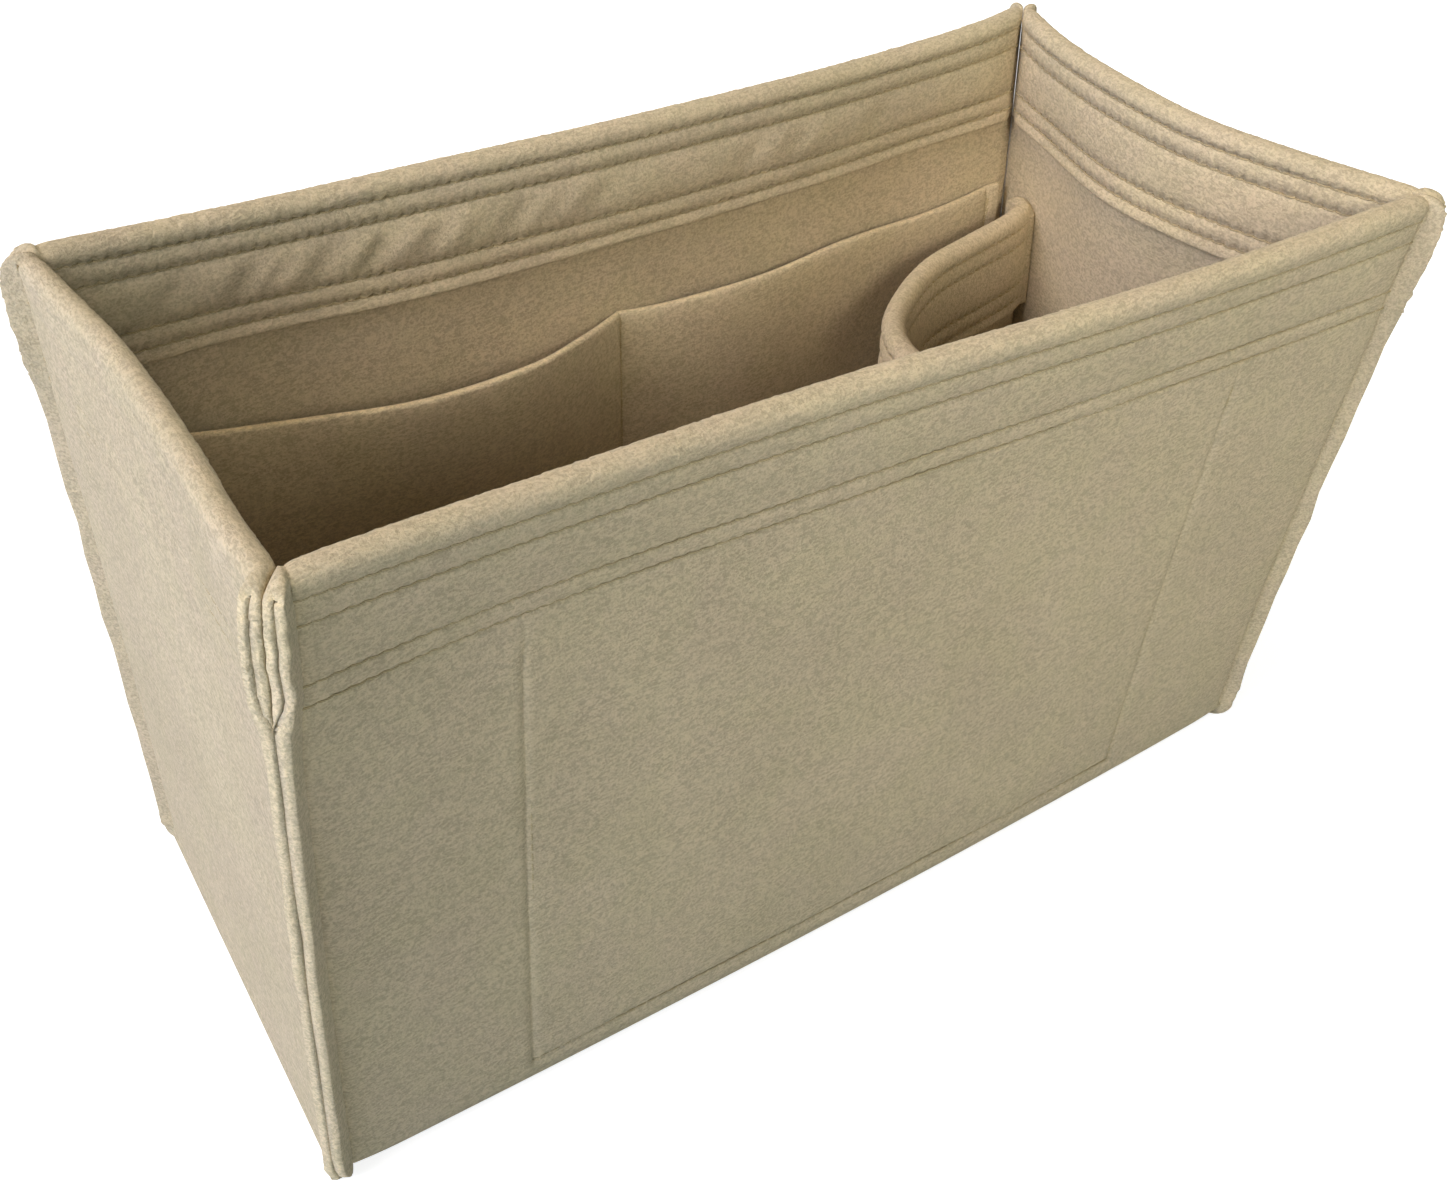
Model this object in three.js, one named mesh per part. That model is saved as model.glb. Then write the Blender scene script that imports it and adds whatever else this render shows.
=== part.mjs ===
// A felt insert that stands inside a handbag and keeps its contents in order.
// One strip of felt makes the front, the base and the back, and an end panel is sewn into each end.
// Every wall's top is folded inwards as a wide hem and sewn down with four rows of stitches.
// Inside are a two-part pocket on the back, a pocket on the front and a bottle holder at the right end.
// Millimetres, +Z up, +X along the length to the right, +Y towards the back wall.
import * as THREE from "three";

const { Vector3 } = THREE;

// Felt and thread.
const FELT = 3;
const LAYER_GAP = 0.3;
const THREAD_RADIUS = 0.35;
const THREAD_SEAT = 0.3;
const STITCH_DENT = 0.5;
const SEAM_ALLOWANCE = 5.2;
const SEAM_LINE = 4.1;
const BEND_THREAD_SLACK = 0.5;

// The box, measured between its inner corners.
const HEIGHT = 182;
const BASE_LENGTH = 303;
const BASE_DEPTH = 122;
const MOUTH_LENGTH = 304;
const MOUTH_DEPTH = 138;
const BACK_RIGHT_LIFT = 2.8;
const BACK_LEFT_LIFT = 3.3;
const FRONT_RIGHT_LIFT = 1.2;
const BEND_RADIUS = 1.2;

// How far each wall bows inwards at its mouth and at its hem's lower edge, and the front's foot outwards.
const FRONT_MOUTH_BOW = 1.7;
const FRONT_HEM_BOW = 4.4;
const FRONT_FOOT_BOW = 2.5;
const BACK_MOUTH_BOW = 5.5;
const BACK_HEM_BOW = 3.1;
const LEFT_MOUTH_BOW = 4;
const LEFT_HEM_BOW = 1.5;
const RIGHT_MOUTH_BOW = 13;
const RIGHT_HEM_BOW = 13.2;

// The hem, and the pockets and the holder that hang below its raw edge.
const HEM_DEPTH = 33.2;
const BACK_POCKET_DROP = 17.5;
const BACK_POCKET_DIP = 4.4;
const BACK_POCKET_SEAM_INSET = 10;
const BACK_POCKET_EDGE_INSET = 5;
const LEFT_POCKET_SLACK = 17;
const RIGHT_POCKET_SLACK = 6.5;
const FRONT_POCKET_DROP = 2.6;
const FRONT_POCKET_SLACK = 7;
const FRONT_POCKET_ALLOWANCE = 5;
const POCKET_ROW_RISE = 3;
const POCKET_TOP_DIP_SHARE = 0.12;
const HOLDER_DROP = 20.5;
const HOLDER_REACH = 88;
const HOLDER_SEAM_INSET = 11;
const HOLDER_ALLOWANCE = 5;
const HOLDER_BEND_CLEARANCE = 0.85;

// Places of the corners, as shares of the half length and the half depth at the base and at the mouth.
const cornerShares = {
  frontLeft: { base: [-1.028, -1.06], mouth: [-1.001, -0.99] },
  frontRight: { base: [0.991, -0.988], mouth: [0.982, -1.072] },
  backRight: { base: [1, 1.019], mouth: [1.018, 1.112] },
  backLeft: { base: [-0.991, 0.989], mouth: [-1.018, 0.961] },
};

// How the bow is spread along each wall: share of the wall's length, share of the bow.
const bowShares = {
  front: {
    mouth: [[0, 0], [0.15, 0.36], [0.4, 1], [0.7, -0.67], [1, 0]],
    hem: [[0, 0], [0.15, 1], [0.4, 0.73], [0.7, 0.36], [1, 0]],
  },
  back: {
    mouth: [[0, 0], [0.15, -0.05], [0.3, 0.19], [0.5, 0.78], [0.7, 1], [0.8, 0.89], [0.94, 0.65], [1, 0]],
    hem: [[0, 0], [0.15, -0.94], [0.3, 0.52], [0.5, 1], [0.7, 0.7], [0.85, -0.2], [1, 0]],
  },
  left: {
    mouth: [[0, 0], [0.3, 1], [0.65, 0.63], [0.85, 0.03], [1, 0]],
    hem: [[0, 0], [0.3, 0.73], [0.65, 1], [0.85, 0.6], [1, 0]],
  },
  right: {
    mouth: [[0, 0], [0.15, 0.46], [0.4, 0.9], [0.6, 1], [0.85, 0.4], [1, 0]],
    hem: [[0, 0], [0.15, 0.25], [0.4, 1], [0.6, 0.98], [0.85, 0.42], [1, 0]],
  },
};
const LEAN_POWER = 1.4;
const BOW_POWER = 1.6;
const LIFTED_SHARE = 0.25;
const FOOT_SHARE = 0.05;

// Depths of the four stitch rows below the mouth, as shares of the hem's depth.
const frontRowShares = [0.182, 0.357, 0.784, 0.939];
const otherRowShares = [0.156, 0.323, 0.739, 0.896];

// The mesh stations: along the long walls, across the end walls and down the walls below the hem.
const lengthShares = [0.04, 0.1, 0.17, 0.26, 0.38, 0.5, 0.62, 0.74, 0.82, 0.9, 0.96];
const depthShares = [0.06, 0.18, 0.32, 0.5, 0.68, 0.82, 0.94];
const dropShares = [0.66, 0.36, 0.12];
const FRONT_POCKET_LEFT_SHARE = 0.17;
const FRONT_POCKET_RIGHT_SHARE = 0.82;
const DIVIDER_SHARE = 0.5;
const DEGREE = Math.PI / 180;
const SEAM_ANGLE = 45 * DEGREE;
const QUARTER_TURN = 90 * DEGREE;

// Worked out from the sizes above.
const HALF_GAP = LAYER_GAP / 2;
const OUTER_FACE = HALF_GAP + FELT;
const RAW_EDGE = HEIGHT - HEM_DEPTH;
const FOOT_LIFT = SEAM_ALLOWANCE - OUTER_FACE;
const BEND_CONTACT = BEND_RADIUS - HALF_GAP;
const BEND_START = SEAM_ALLOWANCE + BEND_CONTACT;
const THREAD_STAND = THREAD_SEAT + THREAD_RADIUS;
const POCKET_FLOOR = FOOT_LIFT + FELT + BEND_RADIUS + LAYER_GAP;

const feltColour = 0xd8c9a6;
const threadColour = 0xc3b084;
const feltFinish = () =>
  new THREE.MeshStandardMaterial({ color: feltColour, roughness: 0.95, metalness: 0 });
const threadFinish = () =>
  new THREE.MeshStandardMaterial({ color: threadColour, roughness: 0.7, metalness: 0 });

const mix = (a, b, share) => a + (b - a) * share;
const up = new Vector3(0, 0, 1);

// A smooth curve through rows of [place, value], with slopes taken from the neighbours.
function along(rows, place) {
  const last = rows.length - 1;
  let k = 0;
  while (k < last - 1 && place > rows[k + 1][0]) k += 1;
  const slope = (n) => {
    const low = rows[Math.max(n - 1, 0)];
    const high = rows[Math.min(n + 1, last)];
    return (high[1] - low[1]) / (high[0] - low[0]);
  };
  const width = rows[k + 1][0] - rows[k][0];
  const t = (place - rows[k][0]) / width;
  const rest = 1 - t;
  const ends = rows[k][1] * (1 + 2 * t) * rest * rest + rows[k + 1][1] * t * t * (3 - 2 * t);
  return ends + width * (slope(k) * t * rest * rest - slope(k + 1) * t * t * rest);
}

// The inner corner line at a height: it leans from the base to the mouth.
function cornerLine(name, height) {
  const lean = Math.max(height / HEIGHT, 0) ** LEAN_POWER;
  const { base, mouth } = cornerShares[name];
  const x = mix((base[0] * BASE_LENGTH) / 2, (mouth[0] * MOUTH_LENGTH) / 2, lean);
  const y = mix((base[1] * BASE_DEPTH) / 2, (mouth[1] * MOUTH_DEPTH) / 2, lean);
  return new Vector3(x, y, height);
}

const sides = {
  front: { from: "frontLeft", to: "frontRight", out: new Vector3(0, -1, 0), run: new Vector3(1, 0, 0),
    bows: [FRONT_MOUTH_BOW, FRONT_HEM_BOW, -FRONT_FOOT_BOW], rows: frontRowShares, shares: lengthShares },
  back: { from: "backLeft", to: "backRight", out: new Vector3(0, 1, 0), run: new Vector3(1, 0, 0),
    bows: [BACK_MOUTH_BOW, BACK_HEM_BOW, 0], rows: otherRowShares, shares: lengthShares },
  left: { from: "backLeft", to: "frontLeft", out: new Vector3(-1, 0, 0), run: new Vector3(0, -1, 0),
    bows: [LEFT_MOUTH_BOW, LEFT_HEM_BOW, 0], rows: otherRowShares, shares: depthShares },
  right: { from: "backRight", to: "frontRight", out: new Vector3(1, 0, 0), run: new Vector3(0, -1, 0),
    bows: [RIGHT_MOUTH_BOW, RIGHT_HEM_BOW, 0], rows: otherRowShares, shares: depthShares },
};

// A value that is set at a wall's stations and runs straight between them, as the felt's facets do.
function betweenStations(sideName, share, valueAt) {
  const stations = [0, ...sides[sideName].shares, 1];
  let k = 0;
  while (k < stations.length - 2 && share > stations[k + 1]) k += 1;
  const part = (share - stations[k]) / (stations[k + 1] - stations[k]);
  return mix(valueAt(stations[k]), valueAt(stations[k + 1]), part);
}

// How far a wall bows inwards: from the mouth's curve to the hem's, then fading out towards the base,
// where the foot's own bow is a parabola along the wall.
function bow(sideName, share, height) {
  const [mouthBow, hemBow, footBow] = sides[sideName].bows;
  const hem = hemBow * along(bowShares[sideName].hem, share);
  const rise = Math.max(height / RAW_EDGE, 0);
  if (rise < 1) return hem * rise ** BOW_POWER + footBow * 4 * share * (1 - share) * (1 - rise) ** 2;
  const mouth = mouthBow * along(bowShares[sideName].mouth, share);
  return mix(hem, mouth, (height - RAW_EDGE) / HEM_DEPTH);
}

// Three corners stand a little higher than the front left one, and the walls rise towards them.
const cornerLifts = {
  frontLeft: 0, frontRight: FRONT_RIGHT_LIFT, backRight: BACK_RIGHT_LIFT, backLeft: BACK_LEFT_LIFT };

function lift(sideName, share, height) {
  const { from, to } = sides[sideName];
  const near = (corner, distance) => cornerLifts[corner] * Math.max(1 - distance / LIFTED_SHARE, 0) ** 2;
  return ((near(from, share) + near(to, 1 - share)) * height) / HEIGHT;
}

// A point of a wall: out is its distance outwards from the plane where the hem meets the wall.
function wallPoint(sideName, share, height, out, z = height) {
  const side = sides[sideName];
  const point = cornerLine(side.from, height).lerp(cornerLine(side.to, height), share);
  const inwards = betweenStations(sideName, share, (station) => bow(sideName, station, height));
  const raised = betweenStations(sideName, share, (station) => lift(sideName, station, height));
  point.addScaledVector(side.out, out - inwards);
  return point.setZ(z + raised);
}

// The line where an end panel is sewn to the strip. Each place on it has the inner corner's point,
// the raw edge of the two seam allowances and the direction across them, towards the strip's layer.
function wallSeam(corner, height) {
  const front = corner.startsWith("front");
  const left = corner.endsWith("Left");
  const sideName = front ? "front" : "back";
  const into = new Vector3(left ? 1 : -1, 0, 0);
  const out = new Vector3(0, front ? -1 : 1, 0);
  const inner = wallPoint(sideName, left ? 0 : 1, height, 0);
  const across = into.clone().add(out).normalize();
  const tip = inner.clone().addScaledVector(out.clone().sub(into).normalize(), SEAM_ALLOWANCE);
  return { inner, tip, across, into, out };
}

// The same seam as it goes round the bend from a wall to the base, through a quarter turn.
function bendSeam(corner, turn) {
  const wall = wallSeam(corner, BEND_START);
  const { into } = wall;
  const centre = wall.inner.clone().addScaledVector(wall.out, -BEND_CONTACT);
  const out = wall.out.clone().multiplyScalar(Math.cos(turn)).addScaledVector(up, -Math.sin(turn));
  const inner = centre.clone().addScaledVector(out, BEND_CONTACT);
  const angle = mix(SEAM_ANGLE, 0, turn / QUARTER_TURN);
  const across = into.clone().multiplyScalar(Math.cos(angle)).addScaledVector(out, Math.sin(angle));
  const tip = wall.inner.clone().addScaledVector(into, -SEAM_ALLOWANCE * Math.sin(angle));
  const half = turn / (QUARTER_TURN / 2);
  const reach = SEAM_ALLOWANCE * Math.cos(SEAM_ANGLE);
  tip.addScaledVector(wall.out, mix(reach, -BEND_CONTACT, Math.max(half - 1, 0)));
  tip.setZ(Math.max(BEND_START * (1 - half), 0));
  return { inner, tip, across, into, out, slack: BEND_THREAD_SLACK };
}

// The same seam along the base, where both allowances point straight down and stand on the ground.
function baseSeam(end, share) {
  const front = bendSeam(`front${end}`, QUARTER_TURN);
  const back = bendSeam(`back${end}`, QUARTER_TURN);
  const inner = front.inner.clone().lerp(back.inner, share);
  const tip = inner.clone().setZ(0);
  return { inner, tip, across: front.into, into: front.into, out: up.clone().negate() };
}

// A piece's two points at a seam: the root, where it leaves the wall, and the tip of its allowance.
// The share of the allowance is 1 on a wall, less over the fold and 0 on the hem, which ends at the seam.
function seamPoints(seam, forPanel, out, raise, share, inset) {
  const into = forPanel ? seam.out.clone().negate() : seam.into;
  const face = forPanel ? seam.into.clone().negate() : seam.out;
  const across = forPanel ? seam.across.clone().negate() : seam.across;
  const held = Math.max(out, HALF_GAP);
  const reach = (held - out * across.dot(face)) / across.dot(into);
  const seat = seam.inner.clone().addScaledVector(face, out).addScaledVector(into, reach);
  const tip = seam.inner.clone().lerp(seam.tip, share).addScaledVector(across, held);
  if (share === 0) tip.copy(seat);
  if (seam.tip.z === 0) tip.z = 0;
  const root = seat.clone().addScaledVector(into, inset);
  tip.z += raise;
  root.z += raise;
  return { tip, root };
}

// A closed mesh from its points and triangles, turned so that its faces point outwards.
function closedMesh(name, points, triangles, material) {
  let volume = 0;
  for (const [a, b, c] of triangles) volume += points[a].dot(points[b].clone().cross(points[c]));
  const facing = volume < 0 ? triangles.map(([a, b, c]) => [a, c, b]) : triangles;
  const geometry = new THREE.BufferGeometry();
  const places = points.flatMap((point) => point.toArray());
  geometry.setAttribute("position", new THREE.Float32BufferAttribute(places, 3));
  geometry.setIndex(facing.flat());
  geometry.computeVertexNormals();
  const mesh = new THREE.Mesh(geometry, material);
  mesh.name = name;
  return mesh;
}

// A sheet of felt from a grid of places. Each place gives one point on either face, and a rim joins them.
function feltSheet(name, grid) {
  const rows = grid.length;
  const columns = grid[0].length;
  const points = [0, 1].flatMap((face) => grid.flat().map((place) => place[face]));
  const at = (row, column, face) => face * rows * columns + row * columns + column;
  const triangles = [];
  const quad = (a, b, c, d) => triangles.push([a, b, c], [a, c, d]);
  for (let row = 0; row < rows - 1; row += 1) {
    for (let column = 0; column < columns - 1; column += 1) {
      const corners = [[row, column], [row, column + 1], [row + 1, column + 1], [row + 1, column]];
      quad(...corners.map(([r, c]) => at(r, c, 0)));
      quad(...corners.reverse().map(([r, c]) => at(r, c, 1)));
    }
    const end = columns - 1;
    quad(at(row, 0, 0), at(row + 1, 0, 0), at(row + 1, 0, 1), at(row, 0, 1));
    quad(at(row, end, 1), at(row + 1, end, 1), at(row + 1, end, 0), at(row, end, 0));
  }
  for (let column = 0; column < columns - 1; column += 1) {
    const end = rows - 1;
    quad(at(0, column, 1), at(0, column + 1, 1), at(0, column + 1, 0), at(0, column, 0));
    quad(at(end, column, 0), at(end, column + 1, 0), at(end, column + 1, 1), at(end, column, 1));
  }
  return closedMesh(name, points, triangles, feltFinish());
}

// A row of stitches as one strand along a path on a felt face.
// Each place has a point and the face's normal.
function strand(name, path) {
  const sideCount = 4;
  const points = [];
  const triangles = [];
  path.forEach(({ point, normal }, k) => {
    const before = path[Math.max(k - 1, 0)].point;
    const after = path[Math.min(k + 1, path.length - 1)].point;
    const ahead = after.clone().sub(before).normalize();
    const sideways = ahead.clone().cross(normal).normalize();
    const outwards = sideways.clone().cross(ahead);
    for (let n = 0; n < sideCount; n += 1) {
      const angle = (n * 2 * Math.PI) / sideCount;
      const corner = point.clone().addScaledVector(outwards, THREAD_RADIUS * Math.cos(angle));
      points.push(corner.addScaledVector(sideways, THREAD_RADIUS * Math.sin(angle)));
    }
    if (k === 0) return;
    for (let n = 0; n < sideCount; n += 1) {
      const a = (k - 1) * sideCount + n;
      const b = (k - 1) * sideCount + ((n + 1) % sideCount);
      triangles.push([a, b, b + sideCount], [a, b + sideCount, a + sideCount]);
    }
  });
  const last = (path.length - 1) * sideCount;
  triangles.push([0, 2, 1], [0, 3, 2], [last, last + 1, last + 2], [last, last + 2, last + 3]);
  return closedMesh(name, points, triangles, threadFinish());
}

// The rows of a hemmed edge, from the hem's raw edge over the fold and down the outside to the same level.
// Each row has its height, its two faces' places and the share of the seam allowance that is left there.
function hemRows(top, rowShares) {
  const depths = [];
  rowShares.forEach((share, k) => {
    depths.push({ depth: share * HEM_DEPTH, dent: STITCH_DENT });
    const next = rowShares[k + 1];
    if (next) depths.push({ depth: ((share + next) / 2) * HEM_DEPTH, dent: 0 });
  });
  const raw = { depth: HEM_DEPTH, dent: 0 };
  const raises = [0, 0];
  const outside = ({ depth, dent }) => (
    { height: top - depth, faces: [HALF_GAP, OUTER_FACE - dent], raises, share: 1, inset: 0 });
  const inside = ({ depth, dent }) => (
    { height: top - depth, faces: [-HALF_GAP, dent - OUTER_FACE], raises, share: 0, inset: FELT / 2 });
  const foldStations = [[180, 0, 1], [135, 0, 1], [90, 0.35, 0.5], [45, 0.75, 0], [0, 1, 0]];
  const fold = foldStations.map(([degrees, share, insetShare]) => {
    const angle = degrees * DEGREE;
    const radii = [HALF_GAP, OUTER_FACE];
    return {
      height: top - OUTER_FACE,
      faces: radii.map((radius) => radius * Math.cos(angle)),
      raises: radii.map((radius) => radius * Math.sin(angle)),
      share,
      inset: (insetShare * FELT) / 2,
    };
  });
  return [...[raw, ...depths.toReversed()].map(inside), ...fold, ...[...depths, raw].map(outside)];
}

// The plain wall below the hem, down to where the bend to the base starts.
function wallRows() {
  const heights = dropShares.map((share) => mix(BEND_START, RAW_EDGE, share));
  return [...heights, BEND_START].map((height) => (
    { height, faces: [HALF_GAP, OUTER_FACE], raises: [0, 0], share: 1, inset: 0 }));
}

// A row of a grid, with the seam allowance's tip and root at either end of its middle places.
function rowWithEnds(start, middle, finish) {
  const part = (end, name) => end.map((points) => points[name]);
  return [part(start, "tip"), part(start, "root"), ...middle, part(finish, "root"), part(finish, "tip")];
}

// One row of a wall's grid.
function wallGridRow(sideName, { height, faces, raises, share, inset }) {
  const { from, to, shares } = sides[sideName];
  const isPanel = sideName === "left" || sideName === "right";
  const end = (corner) =>
    faces.map((out, face) => seamPoints(wallSeam(corner, height), isPanel, out, raises[face], share, inset));
  const middle = shares.map((place) =>
    faces.map((out, face) => wallPoint(sideName, place, height, out, height + raises[face])));
  return rowWithEnds(end(from), middle, end(to));
}

// The base lies on the ground, and is lifted towards its ends by the allowances that it stands on there.
const footLift = (share) => FOOT_LIFT * Math.max(1 - Math.min(share, 1 - share) / FOOT_SHARE, 0) ** 2;

// One row of the bend between a long wall and the base.
function bendGridRow(sideName, turn) {
  const { out } = sides[sideName];
  const faces = [HALF_GAP, OUTER_FACE];
  const end = (name) =>
    faces.map((face) => seamPoints(bendSeam(`${sideName}${name}`, turn), false, face, 0, 1, 0));
  const middle = lengthShares.map((share) => {
    const start = wallPoint(sideName, share, BEND_START, -BEND_CONTACT);
    const sunk = footLift(share) - FOOT_LIFT;
    const facing = out.clone().multiplyScalar(Math.cos(turn)).addScaledVector(up, -Math.sin(turn));
    return faces.map((face) => {
      const point = start.clone().addScaledVector(facing, BEND_CONTACT + face);
      point.z += sunk * Math.sin(turn);
      return point;
    });
  });
  return rowWithEnds(end("Left"), middle, end("Right"));
}

// One row of the base, at a share of the way from the front bend to the back bend.
function baseGridRow(share) {
  const faces = [HALF_GAP, OUTER_FACE];
  const end = (name) => faces.map((face) => seamPoints(baseSeam(name, share), false, face, 0, 1, 0));
  const front = bendGridRow("front", QUARTER_TURN).slice(2, -2);
  const back = bendGridRow("back", QUARTER_TURN).slice(2, -2);
  const middle = front.map((place, k) =>
    place.map((point, face) => point.clone().lerp(back[k][face], share)));
  return rowWithEnds(end("Left"), middle, end("Right"));
}

const bendTurns = [22.5, 45, 67.5, 90].map((degrees) => degrees * DEGREE);

// The strip: hem, fold, front wall, bend, base, bend, back wall, fold, hem.
function strip() {
  const wall = (sideName) =>
    [...hemRows(HEIGHT, sides[sideName].rows), ...wallRows()].map((row) => wallGridRow(sideName, row));
  const bend = (sideName) => bendTurns.map((turn) => bendGridRow(sideName, turn));
  const base = depthShares.toReversed().map((share) => baseGridRow(1 - share));
  const backHalf = [...wall("back"), ...bend("back")].toReversed();
  return feltSheet("front_base_back_strip", [...wall("front"), ...bend("front"), ...base, ...backHalf]);
}

// An end panel: its upright allowances lie against the strip's, and its bottom edge stands on the ground.
function endPanel(sideName) {
  const { from, to } = sides[sideName];
  const faces = [HALF_GAP, OUTER_FACE];
  const place = (corner, degrees, part) =>
    faces.map((face) => seamPoints(bendSeam(corner, degrees * DEGREE), true, face, 0, 1, 0)[part]);
  const level = (height) => depthShares.map((share) =>
    faces.map((face) => wallPoint(sideName, share, SEAM_ALLOWANCE, face, height)));
  const seamEnd = (corner) => [place(corner, 22.5, "tip"), place(corner, 45, "root")];
  const footEnd = (corner) => [place(corner, 45, "tip"), place(corner, 67.5, "tip")];
  const seamRow = [...seamEnd(from), ...level(SEAM_ALLOWANCE), ...seamEnd(to).reverse()];
  const footRow = [...footEnd(from), ...level(0), ...footEnd(to).reverse()];
  const rows = [...hemRows(HEIGHT, sides[sideName].rows), ...wallRows()];
  const grid = [...rows.map((row) => wallGridRow(sideName, row)), seamRow, footRow];
  return feltSheet(`${sideName}_end_panel`, grid);
}

// A pocket sheet lies on its wall where it is sewn, and stands off by its slack elsewhere.
const pocketFaces = (slack) => [HALF_GAP - LAYER_GAP - slack, HALF_GAP - LAYER_GAP - FELT - slack];
const POCKET_RISE_POWER = 1.5;
const riseShares = [0, 0.25, 0.5, 0.75, 1];

function pocketSheet(name, sideName, columns, topOf, slackOf) {
  const grid = riseShares.map((rise) =>
    columns.map((share) => {
      const slack = slackOf(share) * rise ** POCKET_RISE_POWER;
      const height = mix(POCKET_FLOOR, topOf(share) - slackOf(share) * POCKET_TOP_DIP_SHARE, rise);
      return pocketFaces(slack).map((out) => wallPoint(sideName, share, height, out));
    }));
  return feltSheet(name, grid);
}

// The back pocket: one sheet, divided in the middle, whose left half stands open more than its right.
const backEdgeShare = BACK_POCKET_EDGE_INSET / BASE_LENGTH;
const backSeamShare = BACK_POCKET_SEAM_INSET / BASE_LENGTH;
const backLeftSlackShares = [
  [0, 0], [0.12, 0.41], [0.31, 0.76], [0.53, 1], [0.75, 0.85], [0.89, 0.41], [1, 0]];
const backRightSlackShares = [
  [0, 0], [0.15, 0.6], [0.33, 1], [0.55, 0.7], [0.8, 0.4], [0.93, 0.2], [1, 0]];
const compartmentShares = [0.12, 0.31, 0.53, 0.75, 0.89];

const backTopDipShares = [
  [0, 0], [0.2, 0.05], [0.36, 0.15], [0.5, 0.9], [0.64, 0.45], [0.76, 0.25], [0.88, 0.7], [1, 0.6]];

function backPocketTop(share) {
  return RAW_EDGE - BACK_POCKET_DROP - BACK_POCKET_DIP * along(backTopDipShares, share);
}

function backPocketSlack(share) {
  const left = (share - backSeamShare) / (DIVIDER_SHARE - backSeamShare);
  const right = (share - DIVIDER_SHARE) / (1 - backSeamShare - DIVIDER_SHARE);
  if (left <= 0 || right >= 1) return 0;
  if (left < 1) return LEFT_POCKET_SLACK * along(backLeftSlackShares, left);
  return RIGHT_POCKET_SLACK * along(backRightSlackShares, right);
}

function backPocket() {
  const left = compartmentShares.map((share) => mix(backSeamShare, DIVIDER_SHARE, share));
  const right = compartmentShares.map((share) => mix(DIVIDER_SHARE, 1 - backSeamShare, share));
  const leftEdge = [backEdgeShare, backSeamShare];
  const rightEdge = [1 - backSeamShare, 1 - backEdgeShare];
  const columns = [...leftEdge, ...left, DIVIDER_SHARE, ...right, ...rightEdge];
  return pocketSheet("back_pocket", "back", columns, backPocketTop, backPocketSlack);
}

// The front pocket: one sheet, sewn at its sides and bottom, with its mouth just below the hem.
const frontAllowanceShare = FRONT_POCKET_ALLOWANCE / BASE_LENGTH;
const frontPocketShares = [0, 0.12, 0.3, 0.5, 0.7, 0.88, 1];
const frontPocketTop = () => RAW_EDGE - FRONT_POCKET_DROP;

function frontPocketSlack(share) {
  const place = (share - FRONT_POCKET_LEFT_SHARE) / (FRONT_POCKET_RIGHT_SHARE - FRONT_POCKET_LEFT_SHARE);
  return place <= 0 || place >= 1 ? 0 : FRONT_POCKET_SLACK * Math.sin(Math.PI * place);
}

function frontPocket() {
  const inside = frontPocketShares.map((share) =>
    mix(FRONT_POCKET_LEFT_SHARE, FRONT_POCKET_RIGHT_SHARE, share));
  const leftEdge = FRONT_POCKET_LEFT_SHARE - frontAllowanceShare;
  const rightEdge = FRONT_POCKET_RIGHT_SHARE + frontAllowanceShare;
  const columns = [leftEdge, ...inside, rightEdge];
  return pocketSheet("front_pocket", "front", columns, frontPocketTop, frontPocketSlack);
}

// The bottle holder's outline in plan: share of its reach from the wall, share of its half width.
const holderArmShares = [[0, 1], [0.1, 0.93], [0.33, 0.84], [0.56, 0.735], [0.77, 0.54], [0.935, 0.3]];
const holderShares = [
  ...holderArmShares, [1, 0], ...holderArmShares.toReversed().map(([reach, width]) => [reach, -width])];
const holderStationCount = 18;
const holderEndShares = [0, 0.25, 0.5, 0.75];
const holderPlaceCount = holderStationCount + 1 + 2 * holderEndShares.length;
const HOLDER_TOP = RAW_EDGE - HOLDER_DROP;
const HOLDER_FLOOR = FOOT_LIFT + FELT + LAYER_GAP;
const HOLDER_BEND = OUTER_FACE + HOLDER_BEND_CLEARANCE;
const holderDropShares = [0.4, 0];

// The right wall's inner face at a depth place. It runs straight between the wall's rows below the hem,
// as the felt's facets do.
function rightWallAt(y, height) {
  const levels = [RAW_EDGE, ...wallRows().map((row) => row.height)];
  let k = 0;
  while (k < levels.length - 2 && height < levels[k + 1]) k += 1;
  const rise = (height - levels[k + 1]) / (levels[k] - levels[k + 1]);
  const cornerY = (corner) => mix(cornerLine(corner, levels[k + 1]).y, cornerLine(corner, levels[k]).y, rise);
  const share = (cornerY("backRight") - y) / (cornerY("backRight") - cornerY("frontRight"));
  const face = (level) => wallPoint("right", share, level, HALF_GAP - LAYER_GAP);
  return face(levels[k + 1]).lerp(face(levels[k]), rise);
}

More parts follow.
